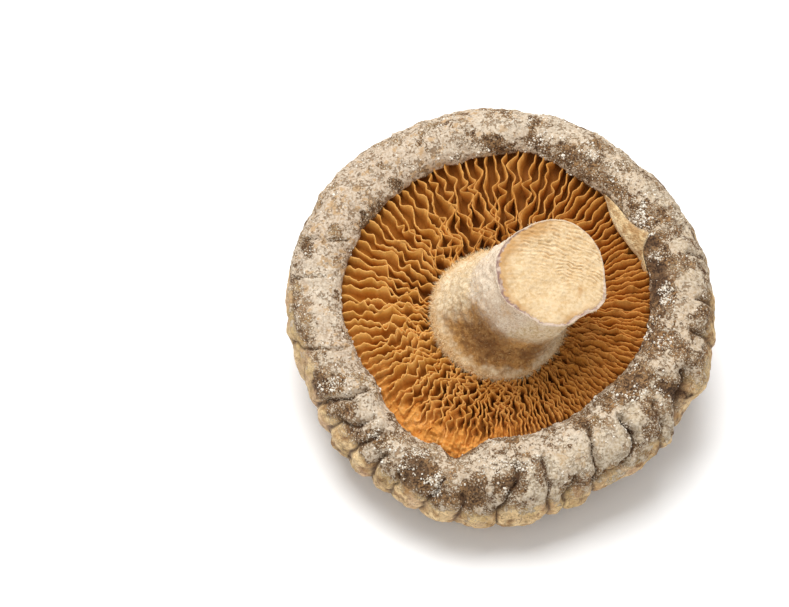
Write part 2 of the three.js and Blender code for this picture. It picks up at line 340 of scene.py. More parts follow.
def back_points(angle, row):
    ring = around(RING_RADII, angle)
    x = ring * np.cos(angle) * (2 - row) + REST[0] * (row - 1)
    y = ring * np.sin(angle) * (2 - row) + REST[1] * (row - 1)
    power = BACK_POWER[0] + (BACK_POWER[1] - BACK_POWER[0]) * (0.5 + 0.5 * np.sin(angle))
    ground = (RING_CENTRE[2] + AXIS_X[2] * x + AXIS_Y[2] * y) / AXIS_W[2]
    fullness = (1 - (2 - row) ** power) ** (1 / power)
    return placed(x, y, -ground * fullness)


back_turn = np.linspace(0.004, 1, BACK_ROWS, endpoint=False)
back_rows = 2 - np.sin(back_turn * math.pi / 2) ** 0.9
roll_rows = np.linspace(1, 0, ROLL_ROWS)
rows_used = np.concatenate([back_rows, roll_rows])
angles_used = np.arange(COLUMNS) / COLUMNS * TURN
ANGLE, ROW = np.meshgrid(angles_used, rows_used)
smooth_skin = np.concatenate([
    back_points(ANGLE[:BACK_ROWS], ROW[:BACK_ROWS]),
    roll_points(ANGLE[BACK_ROWS:], ROW[BACK_ROWS:]),
])
across_skin = np.roll(smooth_skin, -1, 1) - np.roll(smooth_skin, 1, 1)
OUTWARD = np.cross(across_skin, np.gradient(smooth_skin, axis=0))
OUTWARD /= np.linalg.norm(OUTWARD, axis=-1, keepdims=True)
steps_down = np.linalg.norm(np.diff(smooth_skin, axis=0), axis=-1).mean(axis=1)
ARC = np.concatenate([[0], np.cumsum(steps_down)])
ARC = ARC[-1] - ARC
print("skin from lip to resting flat:", round(ARC[0], 1), "mm in", len(rows_used), "rows")

# %% [markdown]
# ## Pleats, creases and lumps on the rim
#
# A cap dries by folding in on itself. On the rim this shows at three scales. Broad pleats pull the skin in
# every few degrees, and they are in the CAD model too. Between and across them run sharp creases. The skin
# between two creases swells like a knuckle, and some of these swellings stand out as lumps of their own.
#
# Every crease is drawn as a line of (degrees, row) points on the unrolled skin. Its depth fades with the
# distance from the line, so one formula serves all. A little noise makes the straight lines wander.

# %% Pleats
# Degrees from +x, depth in millimetres, half width in degrees, and the rows where it begins and ends
PLEATS = [
    (6, 0.9, 3.4, 0.75, 1.5), (18, 0.9, 3.6, 0.7, 1.45), (45, 0.8, 3.8, 0.35, 1.4),
    (66, 0.6, 3.6, 0.6, 1.5), (81, 0.7, 3.2, 0.1, 1.4), (105, 0.6, 3.8, 0.6, 1.5),
    (132, 0.6, 3.6, 0.5, 1.5), (150, 0.5, 3.6, 0.5, 1.5), (168, 0.6, 3.2, 0.2, 1.5),
    (189, 0.9, 3.4, 0.3, 1.5), (204, 1.1, 3.2, 0.1, 1.6), (213, 1.1, 3.0, 0.2, 1.6),
    (222, 1.2, 3.0, 0.2, 1.6), (231, 1.5, 3.2, 0.3, 1.6), (249, 0.9, 3.2, 0.4, 1.5),
    (261, 0.7, 3.0, 0.5, 1.5), (270, 1.0, 3.0, 0.55, 1.55), (285, 1.0, 3.2, 0.3, 1.5),
    (294, 0.9, 3.0, 0.6, 1.5), (303, 0.8, 3.0, 0.2, 1.5), (312, 1.6, 3.4, 0.4, 1.6),
    (328, 1.5, 3.6, 0.45, 1.6), (345, 0.9, 3.4, 0.6, 1.5), (354, 0.8, 3.0, 0.7, 1.5),
]
PLEAT_EASE = 0.2
# Share of the CAD model's pleat depth that the thin skin keeps, every 30 degrees from +x
PLEAT_KEPT = [0.45, 0.4, 0.35, 0.3, 0.25, 0.3, 0.3, 0.22, 0.3, 0.2, 0.34, 0.5]


def pleat_depth(angle, row):
    reach = np.minimum(1, 2 - row)
    depth = np.zeros_like(angle)
    for direction, deep, half, first, last in PLEATS:
        begun = smoothstep(row, first - PLEAT_EASE, first + PLEAT_EASE)
        ended = smoothstep(row, last - PLEAT_EASE, last + PLEAT_EASE)
        across = np.exp(-((reach * degrees_from(angle, direction) / half) ** 1.5))
        depth = np.maximum(depth, deep * begun * (1 - ended) * across)
    return depth * around(PLEAT_KEPT, angle)


print(len(PLEATS), "pleats, the deepest", max(deep for _, deep, *_ in PLEATS), "mm in the solid")

# %% The unrolled skin
UNROLLED_RADIUS = 22.0
ONCE_ROUND = TURN * UNROLLED_RADIUS
FAR = 99.0


def unrolled(angle, row):
    """Places on the skin as if it were pressed flat: millimetres round the rim and down from the lip."""
    down = np.interp(row, rows_used[::-1], ARC[::-1])
    return np.degrees(angle) * TURN / 360 * UNROLLED_RADIUS, down


def shorter_way(off):
    """A distance round the rim, measured the shorter way."""
    return np.mod(off + ONCE_ROUND / 2, ONCE_ROUND) - ONCE_ROUND / 2


def distance_to_line(x, y, points):
    """How far places on the unrolled skin lie from a line of joined points."""
    nearest = np.full_like(x, FAR)
    for (ax, ay), (bx, by) in zip(points[:-1], points[1:]):
        sx, sy = bx - ax, by - ay
        share = np.clip(((x - ax) * sx + (y - ay) * sy) / (sx * sx + sy * sy), 0, 1)
        nearest = np.minimum(nearest, np.hypot(x - ax - share * sx, y - ay - share * sy))
    return nearest


flat_x, flat_y = unrolled(ANGLE, ROW)
print("unrolled rim:", round(ONCE_ROUND), "mm long")

# %% Creases
# Depth and half width in millimetres, then the line's points: degrees from +x, and row
CREASES = [
    (0.6, 0.22, [(186, 0.98), (191, 0.78), (194, 0.58), (196, 0.44), (196, 0.3)]),
    (0.9, 0.34, [(206, 1.25), (207, 0.95), (209, 0.74), (212, 0.56), (214, 0.34)]),
    (0.75, 0.3, [(214, 1.2), (215, 0.9), (216, 0.76), (221, 0.6), (224, 0.42)]),
    (0.8, 0.3, [(221, 1.2), (224, 0.88), (226, 0.68), (228, 0.5), (228, 0.42)]),
    (1.1, 0.36, [(230, 1.3), (231, 1.05), (232, 0.8), (234, 0.62)]),
    (0.7, 0.24, [(238, 1.2), (238, 0.95), (240, 0.78), (239, 0.66)]),
    (0.9, 0.26, [(246, 1.2), (248, 0.84), (250, 0.72), (252, 0.56)]),
    (0.75, 0.24, [(257, 1.15), (257, 0.9), (259, 0.76), (258, 0.66)]),
    (0.95, 0.26, [(266, 1.2), (268, 0.84), (270, 0.76), (274, 0.6), (274, 0.5)]),
    (0.9, 0.26, [(279, 1.15), (281, 0.92), (283, 0.72), (282, 0.6), (284, 0.48)]),
    (0.95, 0.26, [(285, 1.2), (286, 0.84), (288, 0.8), (291, 0.74)]),
    (1.2, 0.3, [(294, 1.1), (295, 0.84), (298, 0.78), (298, 0.64), (300, 0.56), (302, 0.44)]),
    (1.5, 0.36, [(295, 0.9), (299, 0.84), (303, 0.86), (307, 0.82), (310, 0.77), (311, 0.67), (312, 0.52)]),
    (0.9, 0.32, [(314, 1.2), (317, 0.88), (320, 0.82), (320, 0.76), (322, 0.64)]),
    (2.0, 0.55, [(335, 0.72), (333, 0.8), (329, 0.86), (326, 0.88), (323, 0.98), (322, 1.15)]),
    (0.7, 0.28, [(348, 0.62), (348, 0.85), (347, 1.2)]),
    (0.7, 0.28, [(358, 0.64), (358, 0.85), (357, 1.2)]),
    (0.7, 0.28, [(12, 0.62), (11, 0.85), (12, 1.2)]),
    (0.4, 0.22, [(343, 0.78), (353, 0.8), (3, 0.76), (9, 0.8)]),
    (0.45, 0.22, [(28, 0.66), (27, 0.85), (29, 1.1)]),
    (0.35, 0.2, [(52, 0.7), (53, 0.9), (51, 1.1)]),
    (0.3, 0.2, [(78, 0.36), (79, 0.5), (78, 0.7), (79, 0.85)]),
    (0.3, 0.2, [(117, 0.62), (119, 0.8), (118, 1.0)]),
    (0.5, 0.2, [(142, 0.3), (144, 0.42), (143, 0.5)]),
    (0.6, 0.2, [(154, 0.3), (158, 0.52), (159, 0.68), (163, 0.8)]),
    (0.5, 0.2, [(169, 0.4), (171, 0.6), (170, 0.76), (172, 0.95)]),
    (0.3, 0.2, [(178, 0.7), (180, 0.9), (179, 1.1)]),
    (0.35, 0.2, [(196, 0.8), (198, 0.92), (197, 1.15)]),
]
CREASE_WANDER = 0.5
CREASE_INK = 0.2
wander_x = CREASE_WANDER * rough(smooth_skin, 2.2, 1, 2)
wander_y = CREASE_WANDER * rough(smooth_skin, 2.2, 2, 2)
crease_pull = np.zeros_like(ANGLE)
crease_lip = np.zeros_like(ANGLE)
crease_line = np.zeros_like(ANGLE)
from_crease = np.full_like(ANGLE, FAR)
for depth, half, line in CREASES:
    middle = line[len(line) // 2][0]
    turns = np.round((np.degrees(ANGLE) - middle) / 360)
    here = (flat_x - turns * TURN * UNROLLED_RADIUS + wander_x, flat_y + wander_y)
    points = [unrolled(math.radians(degrees), row) for degrees, row in line]
    off = distance_to_line(*here, points)
    crease_pull = np.maximum(crease_pull, depth * np.exp(-((off / (0.75 * half)) ** 1.5)))
    crease_lip = np.maximum(crease_lip, 0.3 * depth * bump(off, 2.4 * half, 1.3 * half))
    crease_line = np.maximum(crease_line, min(1.0, 1.5 * depth) * bump(off, 0, CREASE_INK))
    from_crease = np.minimum(from_crease, off)
print(len(CREASES), "creases, the deepest", round(float(crease_pull.max()), 2), "mm")

# %% [markdown]
# ## Plates, wrinkles and fine folds
#
# The back of a dried cap looks like cracked leather: large plates with deep valleys between them, and
# smaller wrinkles inside each plate. The large plates are the CAD model's own. Seeds are laid out as on a
# sunflower, and a valley lies wherever two seeds are equally near. The smaller wrinkles use the same idea
# with ready-made cell noise at two sizes, the finer one shallower.
#
# The outer side of the rim has fine folds of two more kinds: wandering ones, where a noise crosses its
# middle, and a net of long narrow meshes, which is cell noise on a skin that is stretched down the side.

# %% Plates
PLATE_COUNT = 26
GOLDEN = 0.381966
PLATE_SPREAD = 34
PLATE_SCATTER = 2.8
VALLEY_DEPTH = 1.5


def random_from(seed):
    """Numbers from 0 to 1 that are the same on every run, and the same as the CAD model's."""
    state = seed
    while True:
        state = (state * 16807) % 2147483647
        yield state / 2147483647


random = random_from(7)
plates = []
for k in range(PLATE_COUNT):
    reach = PLATE_SPREAD * math.sqrt((k + 0.5) / PLATE_COUNT)
    x = reach * math.cos(k * GOLDEN * TURN) + PLATE_SCATTER * (2 * next(random) - 1)
    y = reach * math.sin(k * GOLDEN * TURN) + PLATE_SCATTER * (2 * next(random) - 1)
    plates.append((x, y))
from_middle = 2 - ROW
flat_radius = around(RING_RADII, ANGLE) * from_middle * (1 + 0.35 * from_middle**4)
plate_x = flat_radius * np.cos(ANGLE)
plate_y = flat_radius * np.sin(ANGLE)
bent_x = plate_x + 1.6 * np.sin(0.31 * plate_y)
bent_y = plate_y + 1.6 * np.cos(0.27 * plate_x)
bent_x += 0.7 * rough(smooth_skin, 3.0, 3, 3)
bent_y += 0.7 * rough(smooth_skin, 3.0, 4, 3)
plate_distances = np.sort([np.hypot(bent_x - a, bent_y - b) for a, b in plates], axis=0)
between_plates = plate_distances[1] - plate_distances[0]
on_back = smoothstep(ROW, 1.0, 1.12)
off_flat = 1 - smoothstep(ROW, 1.5, 1.75)
valley = VALLEY_DEPTH * (0.7 * np.exp(-between_plates / 3.6) + 0.35 * np.exp(-between_plates / 0.8))
valley_pull = on_back * off_flat * valley
print("plates:", PLATE_COUNT, "deepest valley", round(float(valley_pull.max()), 2), "mm")

# %% Wrinkles and fine folds
NET_WIDTH = 2.7
NET_HEIGHT = 5.5
stretched = smooth_skin + 0.9 * rough_vector(smooth_skin, 2.5, (5, 6, 7), 2)
wrinkle_coarse = np.exp(-cells(stretched, 4.6, 8) / 0.16)
wrinkle_fine = np.exp(-cells(stretched, 1.9, 9) / 0.2)
leather_folds = np.exp(-np.abs(rough(stretched, 3.0, 38, 3)) / 0.09)
leather_folds *= smoothstep(rough(smooth_skin, 3.5, 39, 2), -0.4, 0.3)
net_x = UNROLLED_RADIUS * np.cos(ANGLE) / NET_WIDTH
net_y = UNROLLED_RADIUS * np.sin(ANGLE) / NET_WIDTH
net_place = np.stack([net_x, net_y, flat_y / NET_HEIGHT], axis=-1)
net_place = net_place + 0.16 * rough_vector(smooth_skin, 2.0, (41, 42, 43), 3)
fold_net = np.exp(-cells(net_place, 1.0, 44) / 0.06)
fold_net *= smoothstep(rough(smooth_skin, 3.2, 45, 2), -0.3, 0.25)
print("share of the skin in fine folds:", round(float((np.maximum(leather_folds, fold_net) > 0.5).mean()), 2))

# %% [markdown]
# ## Bloom and stains
#
# The rolled rim carries a white, crumbly bloom. It is thick on the crest, thins out towards the outer
# side, and is worn through in brown stains. On the large folds at the lower right it lies as a smooth thin
# film. Where it lies and where it is worn is written into the mesh as attributes, so the material can break
# their edges up with finer noise than the mesh has points for.
#
# Stains are placed one by one where the eye would miss them. What is only a tendency, such as how far down
# the bloom reaches, is a short list of values round the rim, joined by the same smooth curve as the radii.

# %% Where the bloom lies
# Row at which the bloom ends on the outer side, every 30 degrees from +x
BLOOM_END = [0.86, 0.95, 1.04, 1.1, 1.1, 0.98, 0.74, 0.65, 0.76, 0.77, 0.86, 0.84]
# How thick the bloom lies, every 30 degrees from +x
BLOOM_THICKNESS = [0.38, 0.46, 0.55, 0.65, 0.7, 0.76, 0.83, 0.68, 0.55, 0.57, 0.62, 0.46]
# How many rows sooner the tan side turns into brown leather, every 30 degrees from +x
LEATHER_SOONER = [0.08, 0.2, 0.32, 0.34, 0.32, 0.22, 0.04, 0.0, 0.0, 0.0, 0.0, 0.0]
bloom_end = around(BLOOM_END, ANGLE) + 0.11 * rough(smooth_skin, 3.6, 12, 3)
bloom_thickness = around(BLOOM_THICKNESS, ANGLE)
bloom = bloom_thickness * (1 - smoothstep(ROW, bloom_end - 0.24, bloom_end + 0.18))
bloom *= smoothstep(ROW, 0.02, 0.2)
# The smooth film: on the large folds at the lower right, and a little at the right
film_row = ROW + 0.05 * rough(smooth_skin, 1.5, 50, 3)
film = near(ANGLE, 304, 24, 42) * smoothstep(film_row, 0.42, 0.54)
film = np.maximum(film, 0.75 * near(ANGLE, 20, 14, 24) * smoothstep(film_row, 0.5, 0.6))
film *= smoothstep(rough(smooth_skin, 2.6, 49, 3), -0.5, 0.1) * smoothstep(degrees_from(ANGLE, 337), 5, 11)
film *= 1 - smoothstep(ROW, 1.05, 1.2)
leather_row = ROW + around(LEATHER_SOONER, ANGLE) + 0.14 * rough(smooth_skin, 3.0, 51, 4)
leather_share = smoothstep(leather_row, 1.14, 1.44)
print("share of the skin under bloom:", round(float((bloom > 0.2).mean()), 2))

# %% Stains and crumbs
# Stains where brown skin shows: degrees, row, half length round the rim, half length across it, strength
STAINS = [
    (127, 0.3, 1.3, 1.1, 1.0), (144, 0.24, 1.5, 0.8, 0.9), (137, 0.2, 1.2, 0.6, 0.7),
    (96, 0.42, 0.8, 0.7, 0.7), (90, 0.36, 1.2, 1.1, 0.8), (86, 0.26, 2.2, 0.8, 0.7),
    (78, 0.56, 0.6, 2.4, 0.9), (74, 0.34, 2.4, 1.0, 0.8), (63, 0.34, 2.6, 1.5, 0.95),
    (54, 0.46, 1.2, 1.6, 0.7), (46, 0.36, 2.0, 1.0, 0.5), (30, 0.42, 1.6, 1.5, 0.85),
    (26, 0.56, 1.0, 1.2, 0.7), (19, 0.38, 1.6, 1.4, 1.3), (10, 0.34, 2.0, 1.5, 1.4),
    (2, 0.34, 2.6, 1.6, 1.5), (354, 0.3, 2.0, 1.4, 0.5), (345, 0.42, 1.6, 1.3, 0.5),
    (161, 0.66, 1.4, 1.2, 1.0), (166, 0.74, 0.8, 1.2, 0.6), (204, 0.72, 1.2, 1.3, 1.0),
    (206, 0.6, 0.7, 1.0, 0.7), (215, 0.6, 1.5, 1.4, 0.4), (226, 0.62, 1.5, 1.5, 0.75),
    (244, 0.56, 2.4, 2.2, 1.15), (251, 0.66, 1.4, 1.4, 0.9), (261, 0.64, 1.5, 1.5, 1.0),
    (268, 0.44, 2.0, 1.0, 0.5), (273, 0.6, 1.8, 1.4, 1.0), (281, 0.6, 1.0, 1.2, 0.8),
    (289, 0.42, 1.4, 1.0, 0.6), (301, 0.36, 1.2, 0.9, 0.8), (313, 0.32, 1.8, 1.0, 0.9),
    (324, 0.4, 2.4, 1.5, 0.95), (329, 0.74, 1.0, 2.4, 1.3), (319, 0.72, 0.5, 1.6, 0.9),
    (311, 0.64, 0.6, 0.8, 0.7), (323, 0.98, 0.6, 2.0, 1.2), (338, 0.36, 1.5, 1.2, 0.6),
    (175, 0.3, 1.0, 0.6, 0.5), (188, 0.26, 1.3, 0.5, 0.5),
]
# How many crumbs of bloom stand out, every 30 degrees from +x
CRUMB_SHARE = [0.9, 0.95, 1.0, 0.7, 0.3, 0.3, 0.35, 0.6, 1.0, 0.95, 0.8, 0.9]
stain_x = flat_x + 0.9 * rough(smooth_skin, 1.6, 13, 3)
stain_y = flat_y + 0.9 * rough(smooth_skin, 1.6, 14, 3)
stain_and_lip_shade = np.zeros_like(ANGLE)
for degrees, row, half_round, half_across, strength in STAINS:
    middle_x, middle_y = unrolled(math.radians(degrees), row)
    off_x = shorter_way(stain_x - middle_x) / half_round
    off_y = (stain_y - middle_y) / half_across
    stain_and_lip_shade = np.maximum(stain_and_lip_shade, strength * (1 - smoothstep(np.hypot(off_x, off_y), 0.4, 1.6)))
# A band along the inner edge darkens as the stains do: brown specks and painted shade under the lip
lip_specks_and_shade = 0.7 * bump(ROW, 0.24, 0.09) * smoothstep(rough(smooth_skin, 2.0, 40, 3), -0.1, 0.5)
stain_and_lip_shade = np.maximum(stain_and_lip_shade, lip_specks_and_shade)
clusters = smoothstep(rough(smooth_skin, 2.4, 29, 4), 0.1, 0.6)
crumb_density = around(CRUMB_SHARE, ANGLE) * smoothstep(bloom + 0.5 * stain_and_lip_shade, 0.25, 0.7)
crumb_density *= 0.02 + clusters * (0.7 + 1.9 * np.clip(stain_and_lip_shade, 0, 1))
print("stained share of the skin:", round(float((stain_and_lip_shade > 0.5).mean()), 3))

# %% [markdown]
# ## The folded skin
#
# Now everything that pulls the skin in or lets it swell is added up to one number for each point, the lift in
# millimetres, and every point moves outwards or inwards by that much. A Displace modifier could do the same
# from a texture. But the folds here have places and depths of their own, and a plain sum of named parts is
# easier to steer. The sum of the sunken places goes into the mesh as the crease mask, which the finish
# darkens: partly the creases' own brown lines, partly painted shade.

# %% Fold the skin
# Smooth lumps of skin on the outer side: degrees, row, half width and height in millimetres
LUMPS = [
    (4, 0.74, 1.5, 0.35), (354, 0.74, 1.3, 0.35), (344, 0.77, 1.4, 0.35), (337, 0.92, 1.9, 0.6),
    (305, 0.66, 2.3, 0.5), (291, 0.6, 2.3, 0.35), (316, 0.72, 2.0, 0.45), (215, 0.86, 1.3, 0.2),
    (195, 0.74, 1.5, 0.3), (280, 0.72, 1.8, 0.15),
]
REST_BITE = 0.2
knuckle_zone = near(ANGLE, 270, 62, 92)
pillow = 1 - bump(from_crease, 0, 1.3)
on_roll = 1 - smoothstep(ROW, 1.0, 1.25)
outer_roll = smoothstep(ROW, 0.35, 0.7) * on_roll
at_ring = bump(ROW, 1, 0.15)
# Pleats, valleys and creases pull the skin in, less at the widest ring so that its outline stays even
pleat_pull = pleat_depth(ANGLE, ROW) * (1 - 0.4 * at_ring)
lift = -np.maximum(pleat_pull, valley_pull) - (crease_pull - crease_lip) * (0.72 - 0.44 * at_ring)
# Knuckles and lumps swell
lift += (0.25 + 0.75 * knuckle_zone) * outer_roll * (0.5 * pillow - 0.28)
for degrees, row, half, height in LUMPS:
    middle_x, middle_y = unrolled(math.radians(degrees), row)
    off = np.hypot(shorter_way(flat_x - middle_x), flat_y - middle_y)
    lift += height * np.exp(-((off / half) ** 3))
# Uneven ground: broad on the whole roll, finer and stronger next to the lip
lift += on_roll * (0.13 + 0.12 * outer_roll) * rough(smooth_skin, 3.0, 15, 3)
lift += smoothstep(ROW, 0.0, 0.15) * (0.09 + 0.1 * bump(ROW, 0.2, 0.1)) * rough(smooth_skin, 1.1, 16, 4)
# Fine folds on the outer side, wrinkles on the back, and the bloom's own crust
lift -= (0.03 + outer_roll * 0.1) * leather_folds
lift -= outer_roll * (0.08 + 0.16 * knuckle_zone) * fold_net
lift -= on_back * off_flat * (0.34 * wrinkle_coarse + 0.14 * wrinkle_fine)
lift += on_back * off_flat * (0.28 * rough(smooth_skin, 5.0, 17, 3) + 0.1)
lift += 0.08 * (bloom > 0.3) * rough(smooth_skin, 0.6, 18, 2)
folded = smooth_skin + OUTWARD * lift[..., None]
# The back sinks a little, so that a small flat spot of it rests on the ground
folded[..., 2] -= REST_BITE * smoothstep(ROW, 1, 1.5)
folded[..., 2] = np.maximum(folded[..., 2], 0)
# Sunken places go into one mask that the finish darkens: partly the creases' own brown lines, partly painted
# shade
crease_lines_and_shade = np.clip(0.55 * crease_pull + 0.25 * pleat_pull + 0.6 * valley_pull, 0, 1.2) + 0.75 * crease_line
crease_lines_and_shade += 0.35 * on_back * wrinkle_coarse + 0.15 * on_back * wrinkle_fine
crease_lines_and_shade += outer_roll * (0.2 * leather_folds + 0.5 * fold_net)
print("relief from", round(float(lift.min()), 2), "to", round(float(lift.max()), 2), "mm")

# %% [markdown]
# ## From grids to closed meshes
#
# The folded skin is open at both ends. Its middle on the back closes with a fan, and below the lip it goes
# down into the hollow under the gills and closes there. Nobody sees that floor, but a closed mesh can be
# printed, and light can't leak through it. One helper turns any stack of rings into such a mesh.

# %% Meshes from rings
def write_masks(mesh, masks):
    """Keeps named numbers in a mesh, one for every point."""
    for name, values in masks.items():
        layer = mesh.attributes.new(name, "FLOAT", "POINT")
        layer.data.foreach_set("value", np.asarray(values, np.float32).ravel())


def mesh_from_rings(name, grid, masks):
    """A closed mesh from rings of points in millimetres, each end closed by a fan round its middle."""
    rings, columns = grid.shape[:2]
    points = np.concatenate([grid.reshape(-1, 3), grid[:1].mean(axis=1), grid[-1:].mean(axis=1)]) * MM
    ring, column = np.meshgrid(np.arange(rings - 1), np.arange(columns), indexing="ij")
    a = (ring * columns + column).ravel()
    b = (ring * columns + (column + 1) % columns).ravel()
    quads = np.stack([a, b, b + columns, a + columns], axis=-1)
    first, last = rings * columns, rings * columns + 1
    around_ring = np.arange(columns)
    after = (around_ring + 1) % columns
    top = (rings - 1) * columns
    fans = [np.stack([np.full(columns, first), after, around_ring], axis=-1)]
    fans += [np.stack([np.full(columns, last), top + around_ring, top + after], axis=-1)]
    mesh = bpy.data.meshes.new(name)
    mesh.from_pydata(points.tolist(), [], quads.tolist() + np.concatenate(fans).tolist())
    write_masks(mesh, {
        label: np.append(values, [values[0].mean(), values[-1].mean()]) for label, values in masks.items()
    })
    mesh.shade_smooth()
    return into_scene(name, mesh)


def volume_of(piece):
    """Signed volume in cubic millimetres. It is above 0 when the faces point out."""
    mesh = piece.data
    mesh.calc_loop_triangles()
    points = np.zeros(len(mesh.vertices) * 3)
    mesh.vertices.foreach_get("co", points)
    corners = np.zeros(len(mesh.loop_triangles) * 3, int)
    mesh.loop_triangles.foreach_get("vertices", corners)
    a, b, c = points.reshape(-1, 3)[corners.reshape(-1, 3)].transpose(1, 0, 2) / MM
    return float(np.einsum("ij,ij->i", a, np.cross(b, c)).sum() / 6)


print("mesh helpers are ready")

# %% Close the cap
# Rings of the hollow under the gills: millimetres outside the opening's radius, and height
HOLLOW_DEPTH = 3.2
HOLLOW_STEPS = [(1.4, 0.9), (1.1, -0.2), (0.7, -1.6), (0.5, -HOLLOW_DEPTH)]
HOLLOW_MIDDLE = 9.0
lip_radius = around(OPENING_RADII, angles_used)
hollow = [polar(angles_used, lip_radius + wider, height) for wider, height in HOLLOW_STEPS]
hollow.append(polar(angles_used, HOLLOW_MIDDLE, -HOLLOW_DEPTH))
skin_grid = np.concatenate([folded, np.array(hollow)])
pad = [(0, len(hollow)), (0, 0)]
back_mask = smoothstep(ROW, bloom_end - 0.05, bloom_end + 0.3)
cap_masks = {
    "bloom": bloom, "stain_and_lip_shade": stain_and_lip_shade, "back": back_mask, "row": ROW,
    "crumbs": crumb_density, "film": film, "leather": leather_share,
}
cap_masks = {label: np.pad(values, pad) for label, values in cap_masks.items()}
cap_masks["crease"] = np.pad(crease_lines_and_shade, pad, mode="edge")
cap = mesh_from_rings("cap_skin", skin_grid, cap_masks)
print("cap:", len(cap.data.polygons), "faces, volume", round(volume_of(cap)), "mm3")

# %% [markdown]
# ## Finishes
#
# A finish could be painted on an image, but the mesh would have to be unwrapped, and only a huge image stays
# sharp this close. So every pattern is calculated at its real size from Object coordinates, and neither
# stretches nor slides. The relief of the smallest ones is a Bump, because a mesh fine enough for them would
# be far too heavy. A mask in the mesh says where a pattern belongs, and noise breaks up its edge.

# %% Material helpers
def new_material(name, roughness, **constants):
    """A material, its nodes and its shader. Constants are set on the shader's own sockets."""
    material = bpy.data.materials.new(name)
    material.use_nodes = True
    nodes = Nodes(material.node_tree)
    shader = next(n for n in material.node_tree.nodes if n.type == "BSDF_PRINCIPLED")
    shader.inputs["Roughness"].default_value = roughness
    for label, value in constants.items():
        shader.inputs[label.replace("_", " ")].default_value = value
    return material, nodes, shader


def finish_material(nodes, shader, colour, height=None, distance=0.1, strength=1.0, roughness=None):
    """Links a colour, and a height in units of distance millimetres, into the shader."""
    nodes.tree.links.new(colour.socket, shader.inputs["Base Color"])
    if roughness is not None:
        nodes.tree.links.new(roughness.socket, shader.inputs["Roughness"])
    if height is not None:
        sockets = {"Height": height, "Distance": distance * MM, "Strength": strength}
        bumpy = nodes.add("ShaderNodeBump", {}, sockets)
        nodes.tree.links.new(bumpy.socket, shader.inputs["Normal"])


def object_place(nodes):
    return nodes.add("ShaderNodeTexCoord", {}, {}, out=3)


def read_masks(nodes, *names):
    return [nodes.add("ShaderNodeAttribute", {"attribute_name": name}, {}, out=2) for name in names]


def speckle(place, size, detail=3.0, rough_share=0.6):
    """Noise around 0.5 with features of about size millimetres."""
    sockets = {"Vector": place, "Scale": 1 / (size * MM), "Detail": detail, "Roughness": rough_share}
    return place.nodes.add("ShaderNodeTexNoise", {}, sockets)


def grains(place, size):
    """Round cells of about size millimetres: distance from a cell's middle, and two numbers at random."""
    distance = place.nodes.add("ShaderNodeTexVoronoi", {}, {"Vector": place, "Scale": 1 / (size * MM)})
    pick = place.nodes.add("ShaderNodeSeparateColor", {}, {0: distance.also("Color")})
    return distance, pick, pick.also("Green")


def fold_lines(place, size, width):
    """Wandering lines where a noise crosses its middle, as in creased leather."""
    return (speckle(place, size, 3.0, 0.55) - 0.5).math("ABSOLUTE").step(width, 0.0)


print("material helpers are ready")

# %% [markdown]
# ## The cap's finish
#
# The cap has three layers. At the bottom is leathery skin, tan where it is stretched, brown where it is old,
# darker in deep stains and in a band of painted shade along the inner edge, and darker in creases, partly
# their own brown lines and partly painted shade. Then come loose granules of bloom, which thin out like
# pepper, each with a painted shadow round it. On top lies the bloom's crust, chalky and full of pits, or a
# smooth film on the large folds at the lower right.
# Each layer is a mask over what lies below it. One noise at six sizes serves all of them, so that colours,
# granules and relief agree with each other.

# %% Patterns on the cap
cap_material, nodes, shader = new_material("dried_cap_skin", 0.8, Specular_IOR_Level=0.3)
bloom_here, stain_and_lip_shade_here, crease_lines_and_shade_here, back_here, row_here, film_here, leather_here = read_masks(
    nodes, "bloom", "stain_and_lip_shade", "crease", "back", "row", "film", "leather"
)
place = object_place(nodes)
elsewhere = nodes.vector("ADD", place, (0.05, 0.02, 0.07))
broad = speckle(place, 5.0, 4.0)
plaque = speckle(elsewhere, 3.2, 3.0, 0.5)
patchy = speckle(place, 1.7, 5.0, 0.65)
blotchy = speckle(elsewhere, 1.1, 4.0, 0.6)
grainy = speckle(place, 0.7, 4.0, 0.68)
dusty = speckle(elsewhere, 0.3, 3.0, 0.6)
wavering = nodes.vector("SUBTRACT", speckle(place, 0.9, 3.0, 0.5).also("Color"), (0.5, 0.5, 0.5))
bent = nodes.vector("ADD", place, nodes.vector("SCALE", wavering, scale=0.7 * MM))
lines = fold_lines(bent, 2.4, 0.02) * blotchy.step(0.4, 0.52)
lines = lines + fold_lines(bent, 1.0, 0.025) * patchy.step(0.44, 0.56) * 0.7
lines = (lines + fold_lines(bent, 0.5, 0.03) * blotchy.step(0.56, 0.44) * 0.5).kept()
_, flake_tone, _ = grains(bent, 1.5)
granule, pick, pick_tone = grains(place, 0.2)
print("patterns on the cap:", len(nodes.tree.nodes), "nodes")

# %% Skin of the cap
tan = nodes.over(
    nodes.mix(patchy.step(0.36, 0.62), (170, 130, 82), (234, 203, 152)),
    ((grainy * 0.6 + dusty * 0.4).step(0.46, 0.37) * 0.6, (126, 91, 60)),
    (grainy.step(0.5, 0.64) * 0.45, (234, 210, 168)),
    (plaque.step(0.46, 0.62) * 0.4, (202, 176, 118)),
    (broad.step(0.5, 0.62) * 0.35, (190, 154, 134)),
)
brown = nodes.over(
    nodes.mix(blotchy.step(0.4, 0.6), (80, 56, 37), (136, 103, 70)),
    ((grainy * 0.5 + dusty * 0.5).step(0.5, 0.58) * 0.6, (178, 147, 111)),
    ((grainy * 0.6 + dusty * 0.4).step(0.49, 0.41) * 0.8, (56, 39, 28)),
)
leather = nodes.over(
    nodes.mix(broad.step(0.38, 0.62), (96, 64, 46), (150, 108, 74)),
    ((patchy * 0.6 + grainy * 0.4).step(0.52, 0.7) * 0.8, (186, 150, 110)),
)
